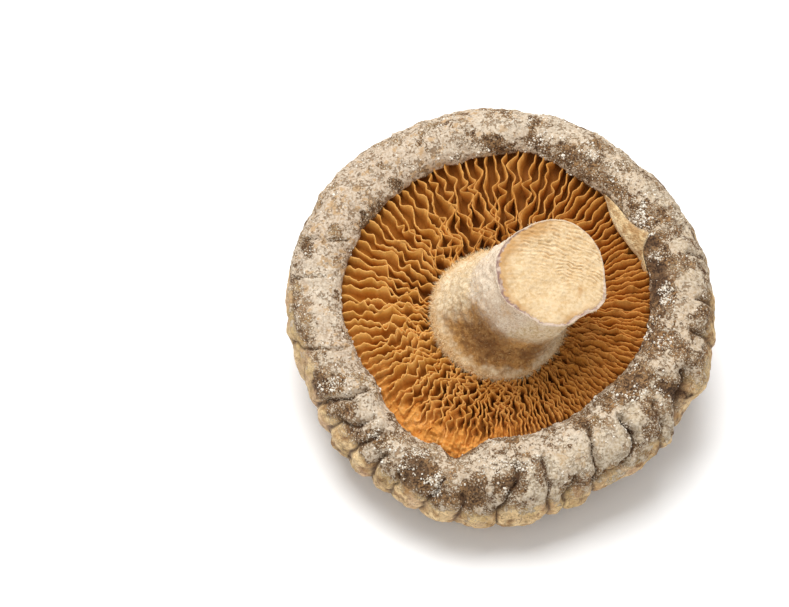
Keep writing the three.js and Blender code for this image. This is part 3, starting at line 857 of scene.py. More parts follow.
thin_bloom = (0.95 - bloom_here) * bloom_here.step(0.1, 0.35)
tan_share = broad + patchy * 1.1 + blotchy * 0.7 - stain_and_lip_shade_here * 0.8 - thin_bloom * 0.8 - 0.84
deep_stain = (stain_and_lip_shade_here + (blotchy - 0.5) * 0.8 + (grainy - 0.5) * 0.4).step(0.8, 1.25)
pepper = nodes.mix(pick_tone.step(0.15, 0.85), (54, 36, 23), (170, 131, 86))
skin = nodes.over(
    nodes.mix(tan_share.step(0.0, 0.5), brown, tan),
    ((stain_and_lip_shade_here - 0.5 + (grainy - 0.5) * 1.2).step(0.0, 0.9) * 0.5, (66, 47, 34)),
    ((leather_here + (patchy - 0.5) * 0.8).step(0.1, 0.7), leather),
    (bloom_here.step(0.05, 0.3) * (1 - deep_stain * 0.6) * 0.5, pepper),
    (deep_stain * 0.65, nodes.mix(pick_tone, (46, 31, 21), (106, 78, 54))),
    (lines * 0.65, nodes.mix(stain_and_lip_shade_here.kept(), (116, 78, 54), (50, 36, 27))),
    # Creases darken: their own brown lines, and painted shade in the sunken parts
    ((crease_lines_and_shade_here - 0.16 + (grainy - 0.5) * 0.6).kept() * 0.84, (80, 55, 38)),
)
print("with its skin:", len(nodes.tree.nodes), "nodes")

# %% Bloom on the cap
# How thick the bloom is here. It is uneven, and along its border it wears off in flakes
thickness = bloom_here * 1.15 - stain_and_lip_shade_here * 0.8 - crease_lines_and_shade_here * 0.45 - 0.27 + film_here * 0.4
uneven_coat = (plaque - 0.5) * 2.5 + (patchy - 0.5) + (blotchy - 0.5) * 0.9
thickness = thickness + uneven_coat * (1 - film_here * 0.75)
worn = bloom_here.step(0.78, 0.55)
thickness = thickness + ((flake_tone - 0.5) * 0.35 + (grainy - 0.5) * 0.9) * worn * (1 - film_here * 0.6)
# Loose granules round the crust
clustered = (thickness + (grainy - 0.5) * 1.4 + 0.2).step(-0.5, 0.4)
granular = (clustered * 1.1 - pick - 0.05).step(-0.04, 0.04) * bloom_here.step(0.03, 0.2)
dome = granule.step(0.62, 0.2)
crumb_and_shadow = nodes.mix(pick_tone * (1 - stain_and_lip_shade_here.kept() * 0.35), (158, 132, 102), (238, 226, 204))
# Round each granule's dome the skin is darkened: a painted shadow
crumb_and_shadow = nodes.mix(dome, nodes.mix(0.3, skin, (120, 92, 64)), crumb_and_shadow)
# The crust itself
coat = (thickness + (grainy - 0.5) * 0.8 * (1 - film_here * 0.5)).step(0.17, 0.28)
ochre = (blotchy * 0.6 + grainy * 0.4).step(0.545, 0.58)
pits = (grainy * 0.45 + dusty * 0.55 - 0.43 - (patchy - 0.5) * 0.7).step(0.02, -0.03)
chalk = nodes.over(
    nodes.mix((patchy * 0.9 + flake_tone * 0.1).step(0.36, 0.62), (188, 169, 146), (228, 213, 191)),
    (broad.step(0.48, 0.64) * 0.45, (198, 171, 142)),
    (bloom_here.step(0.83, 0.76) * 0.55, (187, 164, 138)),
    (bloom_here.step(0.64, 0.72) * bloom_here.step(0.84, 0.77) * 0.6, (178, 150, 124)),
    (bloom_here.step(0.62, 0.5) * 0.45, (172, 140, 100)),
    (film_here * 0.7, nodes.mix(patchy.step(0.4, 0.6), (176, 156, 124), (210, 196, 168))),
    (0.3, (170, 148, 120)),
    (dusty.step(0.34, 0.66) * 0.45, (236, 226, 208)),
    (ochre * (bloom_here.step(0.55, 0.68) * 0.55 + 0.1), (178, 140, 92)),
    (pits * (0.75 - film_here * 0.35), (130, 101, 70)),
    (lines * film_here * 0.6, (134, 104, 76)),
)
colour = nodes.over(
    skin,
    (granular * 0.95, crumb_and_shadow),
    (coat * 0.95, chalk),
    (row_here.step(0.19, 0.08), nodes.mix(patchy, (120, 70, 24), (170, 108, 44))),
)
relief = granular * (1 - coat) * (dome * 0.6 + 0.2) + coat * (0.9 - pits * 0.5)
relief = relief + grainy * 0.6 + patchy * 0.6 - lines * 0.4
finish_material(nodes, shader, colour, relief, 0.15, 0.9, 0.95 - back_here * 0.3)
cap.data.materials.append(cap_material)
print("cap material:", len(nodes.tree.nodes), "nodes")

# %% [markdown]
# ## Trees that grow pieces
#
# Whatever repeats is grown by Geometry Nodes: the crumbs of bloom, the gills and the hairs of the stem.
# A tree gets named inputs for its sizes, which belong to the modifier and are set by the sockets'
# identifiers before anything is evaluated. The result is copied into a plain mesh and the modifier goes,
# because what is handed on should be geometry and not a recipe.

# %% Tree helpers
def new_tree(name, inputs):
    """A Geometry Nodes tree with named inputs. Returns its nodes, its input values and its output node."""
    tree = bpy.data.node_groups.new(name, "GeometryNodeTree")
    tree.interface.new_socket("Geometry", in_out="INPUT", socket_type="NodeSocketGeometry")
    for label, kind in inputs.items():
        tree.interface.new_socket(label, in_out="INPUT", socket_type="NodeSocket" + kind)
    tree.interface.new_socket("Geometry", in_out="OUTPUT", socket_type="NodeSocketGeometry")
    nodes = Nodes(tree)
    entry = tree.nodes.new("NodeGroupInput")
    values = {socket.name: Value(nodes, socket) for socket in entry.outputs if socket.name}
    return nodes, values, tree.nodes.new("NodeGroupOutput")


def grow(name, base, nodes, leave, geometry, material, settings):
    """Ends the tree, runs it on the base object and returns the grown geometry as a plain object."""
    real = nodes.add("GeometryNodeRealizeInstances", {}, {0: geometry})
    done = nodes.add("GeometryNodeSetMaterial", {}, {"Geometry": real, "Material": material})
    nodes.tree.links.new(done.socket, leave.inputs[0])
    modifier = base.modifiers.new(name, "NODES")
    modifier.node_group = nodes.tree
    for item in nodes.tree.interface.items_tree:
        if item.in_out == "INPUT" and item.name in settings:
            modifier[item.identifier] = settings[item.name]
    evaluated = base.evaluated_get(bpy.context.evaluated_depsgraph_get())
    piece = into_scene(name, bpy.data.meshes.new_from_object(evaluated))
    base.modifiers.remove(modifier)
    piece.data.name = name
    return piece


def named(nodes, name):
    """The number that a mesh keeps at each point under a name."""
    return nodes.add("GeometryNodeInputNamedAttribute", {"data_type": "FLOAT"}, {0: name})


def stored(geometry, name, field):
    settings = {"data_type": "FLOAT", "domain": "POINT"}
    sockets = {"Geometry": geometry, "Name": name, "Value": field}
    return geometry.nodes.add("GeometryNodeStoreNamedAttribute", settings, sockets)


def random_value(nodes, low, high, seed):
    """A number at random for every point, or three if the limits have three."""
    kind, sockets, out = "FLOAT", {2: low, 3: high, "Seed": seed}, 1
    if isinstance(low, tuple):
        kind, sockets, out = "FLOAT_VECTOR", {0: low, 1: high, "Seed": seed}, 0
    return nodes.add("FunctionNodeRandomValue", {"data_type": kind}, sockets, out)


def scattered(surface, mask, density, seed):
    """Points spread over a surface as densely as a mask says."""
    sockets = {"Mesh": surface, "Density": named(surface.nodes, mask) * density, "Seed": seed}
    return surface.nodes.add("GeometryNodeDistributePointsOnFaces", {}, sockets)


def on_points(points, thing, turned, size):
    """One copy of a thing on every point."""
    sockets = {"Points": points, "Instance": thing, "Rotation": turned, "Scale": size}
    return points.nodes.add("GeometryNodeInstanceOnPoints", {}, sockets)


print("tree helpers are ready")

# %% [markdown]
# ## Crumbs of bloom
#
# Where the bloom dries out it breaks into tiny white granules that sparkle in the light. They are far too
# small to model one by one, and a painted dot has no shadow. So a tree scatters points over the skin, more
# of them where the crumb mask is high, and puts a twenty-sided ball of random size and turn on each. The
# random number for the size is squared, because small crumbs are more common than large ones.

# %% Scatter the crumbs
crumb_material, nodes, shader = new_material("bloom_crumbs", 0.85, Specular_IOR_Level=0.4)
[tone] = read_masks(nodes, "tone")
colour = nodes.mix(tone, (190, 174, 150), (240, 233, 220))
finish_material(nodes, shader, colour, speckle(object_place(nodes), 0.08), 0.02, 0.6)

nodes, given, leave = new_tree("crumbs", {
    "Density": "Float", "Smallest": "Float", "Largest": "Float", "Seed": "Int",
})
points = scattered(given["Geometry"], "crumbs", given["Density"], given["Seed"])
points = stored(points, "tone", random_value(nodes, 0.0, 1.0, 3))
ball = nodes.add("GeometryNodeMeshIcoSphere", {}, {"Radius": 1.0, "Subdivisions": 1})
size = random_value(nodes, 0.0, 1.0, 4)
size = given["Smallest"] + size * size * (given["Largest"] - given["Smallest"])
stretch = random_value(nodes, (0.7, 0.7, 0.6), (1.3, 1.3, 1.1), 5)
angles = random_value(nodes, (0.0, 0.0, 0.0), (6.28, 6.28, 6.28), 6)
turned = nodes.add("FunctionNodeEulerToRotation", {}, {0: angles})
crumb_balls = on_points(points, ball, turned, nodes.vector("SCALE", stretch, scale=size))
# The density is per square metre: 17 crumbs to a square millimetre where the mask is 1
crumbs = grow("bloom_crumbs", cap, nodes, leave, crumb_balls, crumb_material, {
    "Density": 17e6, "Smallest": 0.04 * MM, "Largest": 0.18 * MM, "Seed": 11,
})
print("crumbs:", len(crumbs.data.polygons) // 20)

# %% [markdown]
# ## The scrap of veil
#
# A young cap is closed by a veil between its rim and its stem. When it opens the veil tears, and here one
# scrap stayed as a smooth cream lip on the inner edge. It could be a bent strip with a Solidify modifier,
# but a stack of rings is closed from the start and can taper at both ends. The rings follow the edge, and
# each one starts on the rim, rises over its shoulder and ends in the open above the gills.

# %% The lip of veil
# Degrees from +x, row where it starts on the rim, how far it stands into the opening and at what height
VEIL_LIP = [
    (46, 0.2, -0.1, 2.7), (43, 0.22, 0.35, 2.75), (39, 0.25, 0.85, 2.8), (35, 0.27, 1.05, 2.85),
    (31, 0.29, 1.05, 2.85), (27, 0.33, 0.95, 2.9), (24.5, 0.38, 0.9, 2.9), (22.5, 0.4, 0.85, 2.85),
    (20.5, 0.34, 0.7, 2.75), (18.5, 0.26, 0.5, 2.6), (16, 0.2, 0.4, 2.4), (13, 0.17, 0.35, 2.2),
    (10, 0.15, 0.1, 2.1),
]
VEIL_RINGS = 100
VEIL_SIDES = 28
VEIL_THICKNESS = 0.6
veil_share = np.linspace(0, 1, VEIL_RINGS)
veil_degrees, veil_rows, veil_inside, veil_height = (along(c, veil_share)[:, None] for c in zip(*VEIL_LIP))
veil_degrees = veil_degrees + np.zeros((1, VEIL_SIDES))
veil_angle = np.radians(veil_degrees)
loop = np.arange(VEIL_SIDES) / VEIL_SIDES * TURN
over = 0.5 - 0.5 * np.cos(loop)
start_on_rim = roll_points(veil_angle, veil_rows + np.zeros_like(veil_angle))
shoulder = roll_points(veil_angle, 0.5 * veil_rows + 0.085 + np.zeros_like(veil_angle))
shoulder = shoulder + AXIS_W * (0.35 + 1.2 * (veil_rows[..., None] - 0.2))
open_edge = polar(veil_angle, around(OPENING_RADII, veil_angle) - veil_inside, veil_height)
t = over[None, :, None]
veil_grid = (1 - t) ** 2 * start_on_rim + 2 * t * (1 - t) * shoulder + t**2 * open_edge
tapered = (0.12 + 0.88 * np.sin(veil_share * math.pi) ** 0.4)[:, None]
puff = VEIL_THICKNESS * np.sign(np.sin(loop)) * np.abs(np.sin(loop)) ** 0.6
veil_grid = veil_grid + AXIS_W * (puff * tapered * (0.4 + 0.6 * over))[..., None]
veil_grid += 0.12 * rough(veil_grid, 1.0, 31, 4)[..., None] * AXIS_W
veil = mesh_from_rings("veil_lip", veil_grid, {"over": np.broadcast_to(over, veil_degrees.shape)})
print("veil lip:", len(veil.data.polygons), "faces, volume", round(volume_of(veil), 1), "mm3")

# %% The veil's finish
veil_material, nodes, shader = new_material("dried_veil", 0.75, Specular_IOR_Level=0.3)
[over_here] = read_masks(nodes, "over")
place = object_place(nodes)
cloudy, speckled, flecked = speckle(place, 1.4, 4.0), speckle(place, 0.3, 3.0), speckle(place, 0.6, 4.0, 0.65)
colour = nodes.over(
    nodes.mix((cloudy * 0.5 + flecked * 0.5).step(0.4, 0.6), (176, 136, 88), (228, 200, 152)),
    ((over_here + (flecked - 0.5) * 0.6).step(0.75, 1.0) * 0.8, (240, 220, 178)),
    ((over_here + (speckled - 0.5) * 1.2).step(0.3, 0.0) * 0.7, (168, 148, 122)),
    ((speckled * 0.5 + cloudy * 0.5).step(0.38, 0.33) * 0.8, (104, 72, 44)),
)
finish_material(nodes, shader, colour, speckled * 0.6 + flecked * 1.4, 0.2, 0.9)
veil.data.materials.append(veil_material)
print("veil material:", len(nodes.tree.nodes), "nodes")

# %% [markdown]
# ## The gills' finish
#
# Dried gills are translucent: ochre in the depth between them, paler on the blades, and palest at their torn
# edges, a painted glow of light shining through. The depth is darker partly as painted shade, and darker
# still towards the stem and on one side of the cap, both painted shade. The tree that grows them writes four
# masks into the mesh: how high on a gill a point is, how far from the stem, how much painted shade falls on
# that side of the cap, and where the margin is smooth.

# %% Colours of the gills
gill_material, nodes, shader = new_material("dried_gills", 0.75, Specular_IOR_Level=0.2)
edge_here, share_here, melted_here, side_shade_here = read_masks(nodes, "edge", "share", "melted", "dark")
place = object_place(nodes)
mottled, streaky, fine = speckle(place, 2.4, 4.0), speckle(place, 0.8, 4.0), speckle(place, 0.25, 3.0)
# Deep between the gills the colour is darker than on the blades, partly painted shade; towards the stem and
# on the shaded side it darkens further, which is painted shade
depth = nodes.over(
    nodes.mix(mottled.step(0.35, 0.65), (158, 97, 28), (184, 119, 38)),
    (share_here.step(0.6, 0.1) * 0.7, (120, 70, 22)),
    (side_shade_here * 0.75, (98, 46, 12)),
)
blade = nodes.mix(mottled.step(0.35, 0.65), (203, 144, 60), (222, 168, 88))
lit_edge = (edge_here + (fine - 0.5) * 0.2).step(0.88, 1.0) * (0.6 - side_shade_here * 0.15)
lit_edge = lit_edge * (0.4 + streaky.step(0.4, 0.6) * 0.6)
smooth_margin = nodes.over(
    nodes.mix(streaky.step(0.38, 0.6), (186, 114, 40), (214, 148, 70)),
    # Pale flecks on the smooth margin are painted highlights
    ((mottled * 0.5 + fine * 0.5).step(0.53, 0.6) * 0.5, (232, 180, 114)),
)
colour = nodes.over(
    depth,
    (edge_here.step(0.05, 0.85), blade),
    (lit_edge, (230, 180, 112)),
    # Blades on the shaded side of the cap darken too: painted shade
    ((side_shade_here * 0.6 + (streaky - 0.5) * 0.5).kept() * edge_here.step(0.1, 0.5), (170, 98, 26)),
    (melted_here.kept() * 0.9, smooth_margin),
)
finish_material(nodes, shader, colour, fine * 0.6 + streaky, 0.08, 0.7)
print("gill material:", len(nodes.tree.nodes), "nodes")

# %% [markdown]
# ## The gills
#
# A gill is a thin upright blade that runs from stem to rim. This cap has well over a hundred, every second
# one short, and as they dried they buckled: where two neighbours buckle in opposite ways they touch and
# leave lozenge-shaped cells. They could be separate blades, but one folded sheet is lighter and has no gaps
# at the roots. The tree starts with a flat grid. Its columns take turns as valley, root, side and edge of a
# gill, its rows run from stem to rim, and formulas on those two numbers move every point to its place. The
# last rows go under the gills and meet the first ones, so the sheet closes into a ring.
#
# The tree reads how the gills differ round the cap from loose points, which stand where gills start and end.

# %% Where the gills start and end
GILL_COUNT = 136
GILL_STEPS = 96
GILL_INNER = 7.2
GILL_UNDER_RIM = 0.85
GILL_THICKNESS = 0.13
GILL_FLOOR = -0.1
GILL_BOTTOM = -2.9
GILL_LEAN = 0.4
STEM_ROOT = (-0.2, -0.6)
END_COUNT = 360
end_angles = np.arange(END_COUNT) / END_COUNT * TURN
inner_x = STEM_ROOT[0] + GILL_INNER * np.cos(end_angles)
inner_y = STEM_ROOT[1] + GILL_INNER * np.sin(end_angles)
outer_radius = around(OPENING_RADII, end_angles) + GILL_UNDER_RIM
end_points = np.concatenate([placed(inner_x, inner_y, 0), polar(end_angles, outer_radius, 0)])
# Every 30 degrees from +x
GILL_LOOKS = {
    # How much neighbours buckle in opposite ways
    "network": [0.25, 0.5, 0.85, 1.0, 1.0, 0.8, 0.45, 0.5, 0.8, 0.85, 0.5, 0.25],
    # How far a gill swings in millimetres, in how many waves, and how much the waves are arches
    "swing": [0.3, 0.38, 0.52, 0.62, 0.64, 0.64, 0.66, 0.58, 0.44, 0.38, 0.34, 0.3],
    "waves": [3.4, 3.2, 3.0, 3.2, 3.2, 4.2, 5.2, 6.0, 8.0, 8.0, 5.5, 3.2],
    "arches": [0.0, 0.0, 0.0, 0.0, 0.0, 0.45, 1.0, 0.7, 0.1, 0.0, 0.0, 0.0],
    # How much of its outer end is melted into a smooth margin
    "melted": [0.0, 0.0, 0.0, 0.0, 0.0, 0.0, 0.2, 0.6, 1.1, 0.9, 0.25, 0.0],
    # How far it rises under the rim, and how far the valleys beside it rise, in millimetres
    "rim_rise": [0.2, 0.6, 0.9, 1.0, 1.0, 0.9, 0.4, 0.1, 0.0, 0.0, 0.0, 0.1],
    "shallow": [0.6, 0.3, 0.1, 0.1, 0.25, 0.5, 0.8, 0.8, 0.5, 0.4, 0.45, 0.6],
    # How much painted shade falls on it, how ragged its edge is, and how much its height differs from its
    # neighbours'
    "dark": [1.0, 0.92, 0.78, 0.7, 0.5, 0.3, 0.15, 0.2, 0.4, 0.78, 0.9, 1.0],
    "jagged": [1.5, 1.3, 0.9, 1.0, 1.0, 1.0, 1.1, 1.6, 2.0, 1.8, 1.4, 1.2],
    "uneven": [1.9, 1.4, 0.7, 0.6, 0.7, 0.8, 0.7, 0.8, 0.9, 1.1, 1.6, 2.0],
}
end_mesh = bpy.data.meshes.new("gill_ends")
end_mesh.from_pydata((end_points * MM).tolist(), [], [])
write_masks(end_mesh, {name: np.tile(around(values, end_angles), 2) for name, values in GILL_LOOKS.items()})
gill_ends = into_scene("gill_ends", end_mesh)
print(GILL_COUNT, "gills between radii", GILL_INNER, "and about", round(float(lip_radius.mean()), 1), "mm")

# %% Number the points of the gills
nodes, given, leave = new_tree("gills", {
    "Gills": "Int", "Steps": "Int", "Thickness": "Float", "Floor": "Float", "Bottom": "Float",
    "Axis": "Vector", "Lean": "Vector", "Seed": "Float",
})
# Corner 0 is the valley before a gill, 1 to 3 go up one side of it and 4 to 6 down the other
CORNERS = 7
# How much wider apart than usual the gills stand where they stand widest, and at what share of the turn
SPREAD = 0.42
WIDEST_AT = 0.31
across_count = given["Gills"] * CORNERS + 1
down_count = given["Steps"] + 4
sheet = nodes.add("GeometryNodeMeshGrid", {}, {
    "Size X": 1.0, "Size Y": 1.0, "Vertices X": across_count, "Vertices Y": down_count,
})
flat = nodes.add("ShaderNodeSeparateXYZ", {}, {0: nodes.add("GeometryNodeInputPosition")})
column = ((flat + 0.5) * (across_count - 1)).math("ROUND")
line = ((flat.also("Y") + 0.5) * (down_count - 1)).math("ROUND")
gill = (column / CORNERS).math("FLOOR")
corner = column - gill * CORNERS
is_valley = corner.math("LESS_THAN", 0.5)
side_sign = (corner - 3.5).math("SIGN") * (1 - is_valley)
# The corners rise to 0.16, 0.58 and all of the gill's height
rise = (1 - is_valley) * (1.21 - (corner - 3.5).math("ABSOLUTE") * 0.42)
gill_place = (gill - is_valley * 0.5) % given["Gills"]
# The first row and the last two go under the gills: the last but one at the rim, the others at the stem
share = ((line - 1) / given["Steps"]).kept()
under = 1 - (line.math("GREATER_THAN", 0.5) * line.math("LESS_THAN", given["Steps"] + 1.5))
at_outer = line.math("COMPARE", given["Steps"] + 2, 0.1)
turn_share = gill_place / given["Gills"]
wrapped = (turn_share * TURN - TURN * WIDEST_AT).math("SINE")
moved_on = SPREAD / TURN * math.sin(TURN * WIDEST_AT)
angle_share = (turn_share + SPREAD / TURN * wrapped + moved_on) % 1.0
print("a grid of", GILL_COUNT * CORNERS + 1, "by", GILL_STEPS + 4, "points")

# %% Read the ends and wobble
ends_at = angle_share * END_COUNT
low = ends_at.math("FLOOR")
between = ends_at - low


def at_end(kind, field, far=0):
    """A value of the end points, read between two of them: at the stem, or at the rim if far is 1."""
    settings = {"data_type": kind, "domain": "POINT"}
    sockets = {"Geometry": given["Geometry"], "Value": field}
    found = []
    for index in (low, low + 1):
        sockets["Index"] = index % END_COUNT + END_COUNT * far
        found.append(nodes.add("GeometryNodeSampleIndex", settings, sockets))
    if kind == "FLOAT":
        return nodes.blend_value(between, *found)
    return nodes.add("ShaderNodeMix", {"data_type": "VECTOR"}, {0: between, 4: found[0], 5: found[1]}, out=1)


def wobble(x_scale, y_scale, shift, size):
    """Smooth random numbers around 0 over gill number and share of the way."""
    at = nodes.combine(gill_place * x_scale + shift, share * y_scale, given["Seed"])
    around_half = nodes.add("ShaderNodeTexNoise", {}, {"Vector": at, "Scale": 1.0, "Detail": 1.0})
    return (around_half - 0.5) * (2 * size)


end_place = nodes.add("GeometryNodeInputPosition")
stem_end, rim_end = (at_end("FLOAT_VECTOR", end_place, far) for far in (0, 1))
network, swing, waves, arches, melted_end, rim_rise, shallow, dark, jagged, uneven = (
    at_end("FLOAT", named(nodes, name)) for name in GILL_LOOKS
)
print("the tree reads", len(GILL_LOOKS), "numbers round the gills")

# %% [markdown]
# A gill's wave is a sine along its way. If each gill starts where its neighbour's wave is turned over, they
# touch and part again, and that makes the network. Where all waves are arches instead, the gills lie in rows
# like ripples. On top comes noise: slow and common to many gills, or quick and a gill's own.

# %% Buckle the gills
phase = share**0.85 * waves + wobble(0.9, 0.0, 10.0, 2.6) + wobble(0.5, 2.4, 20.0, 2.2)
opposite = (gill_place * math.pi).math("COSINE") * (phase * TURN).math("SINE")
arch = 1.15 - (phase * math.pi).math("SINE").math("ABSOLUTE") * 1.9
strength = 0.6 + wobble(0.45, 3.5, 25.0, 1.3)
common = wobble(0.13, 5.0, 30.0, 1.9)
middling = wobble(3.1, 4.5, 35.0, 2.3)
own = wobble(5.3, 9.0, 40.0, 1.5) + wobble(4.1, 26.0, 45.0, 0.7)
buckle = nodes.blend_value(arches, opposite * network, arch * 0.75) * strength
buckle = buckle + common * (1.0 - network * 0.5) + middling * 0.55 + own * jagged * 0.42
# Both ends hold a gill still, and so does the smooth margin
free = share.step(0.0, 0.06) * (1.45 - share.step(0.3, 0.95) * 0.8) * (1 - share.step(0.86, 1.0) * 0.5)
free = free * (1 - melted_end.kept() * share.step(0.55, 0.9))
sway = swing * free * buckle
print("buckled:", len(nodes.tree.nodes), "nodes")

# %% Height of the gills and the floor between them
# The free edge's height at the stem, half way and at the rim
EDGE_START, EDGE_MIDDLE, EDGE_END = 0.9, 2.25, 1.9
bulge = 2 * EDGE_START - 4 * EDGE_MIDDLE + 2 * EDGE_END
slope = EDGE_END - EDGE_START - bulge
toward_rim = rim_rise * share.step(0.45, 1.0)
ragged = wobble(2.3, 11.0, 70.0, 0.36) + wobble(3.7, 34.0, 75.0, 0.26)
edge_height = (share * share * bulge + share * slope + EDGE_START) * MM + toward_rim * MM
edge_height = edge_height + (ragged * jagged + wobble(3.3, 5.0, 95.0, 0.9) * uneven) * MM
floor_rise = wobble(0.6, 5.0, 85.0, 0.5) + toward_rim * 1.3 + shallow * share.step(0.1, 0.5)
floor_height = given["Floor"] + (floor_rise - network * share.step(0.75, 0.2) * 0.6) * MM
# Where the gills melt into the margin, the floor comes up to just below their edges
melting = melted_end.kept() * (share + melted_end * 0.28 + wobble(0.9, 5.0, 80.0, 0.34)).step(0.72, 1.12)
floor_height = nodes.blend_value(melting, floor_height, edge_height - 0.07 * MM)
# A short gill comes out of the floor only some way from the stem
is_short = (gill % 2.0).math("GREATER_THAN", 0.5)
start = is_short * (0.16 + wobble(7.7, 0.0, 60.0, 0.5)).kept()
grown = nodes.blend_value(is_short, 1.0, ((share - start) / 0.12 + 1.0).kept())
top = nodes.blend_value(grown, floor_height, edge_height)
height = nodes.blend_value(under, floor_height + (top - floor_height) * rise, given["Bottom"])
print("with heights:", len(nodes.tree.nodes), "nodes")

# %% Move the points of the gills
reach = nodes.vector("SUBTRACT", rim_end, stem_end)
sideways = nodes.vector("NORMALIZE", nodes.vector("CROSS_PRODUCT", given["Axis"], reach))
half_thick = given["Thickness"] * 0.5 * nodes.blend_value(grown, 0.25, 1.0)
root_flare = (1 - rise) * (0.05 + share * 0.1) * MM
tip_lean = wobble(1.9, 6.0, 90.0, 0.3) * MM * rise
own_place = wobble(7.9, 1.2, 105.0, 0.4) * share.step(0.0, 0.1) * MM
swung = (sway * MM * (0.25 + 0.75 * rise) + tip_lean + own_place) * (1 - is_valley * 0.35)
offset = (side_sign * (half_thick + root_flare) + swung) * (1 - under)
spot = stem_end
for direction, far in [
    (reach, nodes.blend_value(under, share, at_outer)), (sideways, offset), (given["Axis"], height),
    (given["Lean"], rise * (1 - under) * (1 - melting)),
]:
    spot = nodes.vector("ADD", spot, nodes.vector("SCALE", direction, scale=far))
geometry = sheet
for name, field in {"edge": rise * grown, "share": share, "melted": melting, "dark": dark}.items():
    geometry = stored(geometry, name, field)
geometry = nodes.add("GeometryNodeSetPosition", {}, {"Geometry": geometry, "Position": spot})
geometry = nodes.add("GeometryNodeMergeByDistance", {}, {"Geometry": geometry, "Distance": 0.002 * MM})
geometry = nodes.add("GeometryNodeFlipFaces", {}, {"Mesh": geometry})
geometry = nodes.add("GeometryNodeSetShadeSmooth", {}, {"Geometry": geometry})
gills = grow("gill_ring", gill_ends, nodes, leave, geometry, gill_material, {
    "Gills": GILL_COUNT, "Steps": GILL_STEPS, "Seed": 4.0, "Thickness": GILL_THICKNESS * MM,
    "Floor": GILL_FLOOR * MM, "Bottom": GILL_BOTTOM * MM,
    "Axis": AXIS_W.tolist(), "Lean": (GILL_LEAN * MM * AXIS_Y).tolist(),
})
bpy.data.objects.remove(gill_ends)
print("gills:", len(gills.data.polygons), "faces, volume", round(volume_of(gills)), "mm3")

# %% [markdown]
# ## The stem
#
# The stem was trimmed with a slanting cut. It flares into the cap, leans over to the right, and its felted
# outside is whitish above and brown below, the brown partly painted shade. The cut shows the ends of its
# fibres as fine curved ridges, with painted shade in the grooves between them, and a thin bruised line round
# the edge. Rings of points again make the shape: up the side, and then inwards over the cut.

# %% The stem's side
STEM_LENGTH = 13.4
STEM_SHIFT = (6.8, 0.5)
STEM_BEND = 1.25
STEM_RADII = [7.6, 7.6, 6.8, 6.3, 6.05, 5.95, 5.9, 5.9]
CUT_SLOPE = (-0.3, 0.18)
STEM_CORNERS = 0.035
STEM_COLUMNS = 360
SIDE_RINGS = 84
# Corners and flats of the cut's outline: direction, half width in degrees, share of the radius
STEM_EDGES = [
    (327, 15, 0.11), (6, 22, -0.055), (294, 18, -0.03), (212, 24, 0.22), (250, 16, 0.02), (177, 16, 0.03),
]


def stem_ring(angle, share):
    """Points round the stem at a share of its length."""
    bent = share**STEM_BEND
    corners = np.cos(4 * angle + 0.6) * share - np.cos(3 * angle + 1)
    radius = along(STEM_RADII, share) * (1 + STEM_CORNERS * smoothstep(share, 0, 0.2) * corners)
    for direction, half, change in STEM_EDGES:
        radius = radius * (1 + change * share**3 * bump(degrees_from(angle, direction), 0, half))
    slope = radius * (CUT_SLOPE[0] * np.cos(angle) + CUT_SLOPE[1] * np.sin(angle))
    x = STEM_ROOT[0] + radius * np.cos(angle) + STEM_SHIFT[0] * bent
    y = STEM_ROOT[1] + radius * np.sin(angle) + STEM_SHIFT[1] * bent
    return placed(x, y, share * STEM_LENGTH + bent * slope)


stem_angles = np.arange(STEM_COLUMNS) / STEM_COLUMNS * TURN
side_angle, side_share = np.meshgrid(stem_angles, np.linspace(0, 1, SIDE_RINGS))
side_points = stem_ring(side_angle, side_share)
across_side = np.roll(side_points, -1, 1) - np.roll(side_points, 1, 1)
side_out = np.cross(across_side, np.gradient(side_points, axis=0))
side_out /= np.linalg.norm(side_out, axis=-1, keepdims=True)
# Felt in lumps and tufts, which flattens towards the cut
side_lift = 0.28 * rough(side_points, 3.5, 21, 3) + 0.16 * rough(side_points, 1.0, 22, 4)
tufts = smoothstep(rough(side_points, 0.8, 48, 3), 0.0, 0.6)
side_lift += 0.16 * tufts * (1 - smoothstep(side_share, 0.6, 0.9))
side_lift *= smoothstep(side_share, 0.02, 0.3) * (1 - 0.7 * smoothstep(side_share, 0.9, 1.0))
# A swollen collar at the foot, and a groove below the cut
side_lift += 0.35 * bump(side_share, 0.12, 0.06)
side_lift -= 0.3 * bump(side_share, 0.92, 0.04) * (0.4 + 0.6 * rough(side_points, 3.0, 23, 2))
side_points = side_points + side_out * side_lift[..., None]
print("stem:", SIDE_RINGS, "rings up the side")

# %% The stem's cut
FOOT_RADIUS = 7.4
FOOT_HEIGHT = -2.8
RIDGE_WIDTH = 0.46
edge_ring = side_points[-1]
cut_middle = edge_ring.mean(axis=0)
quarter = STEM_COLUMNS // 4
cut_normal = np.cross(edge_ring[quarter] - edge_ring[3 * quarter], edge_ring[2 * quarter] - edge_ring[0])
cut_normal /= np.linalg.norm(cut_normal)
cut_insets = np.concatenate([[0.985, 0.965, 0.945, 0.925], np.linspace(0.9, 0.01, 64)])[:, None]
cut_grid = cut_middle + (edge_ring - cut_middle)[None] * cut_insets[..., None]
cut_x = (cut_grid - cut_middle) @ AXIS_X
cut_y = (cut_grid - cut_middle) @ AXIS_Y
ridge_wave = cut_y + 0.03 * (cut_x + 2.5) ** 2 + 0.3 * rough(cut_grid, 2.2, 24, 3)
ridges = np.sin(ridge_wave * TURN / RIDGE_WIDTH + 2.2 * rough(cut_grid, 1.1, 25, 3))
broken = 0.15 + 0.85 * smoothstep(rough(cut_grid, 0.9, 32, 3), -0.3, 0.25)
ridged = smoothstep(cut_y + 0.5 * cut_x + 1.6 * rough(cut_grid, 2.5, 33, 2), -1.2, 2.2) * broken
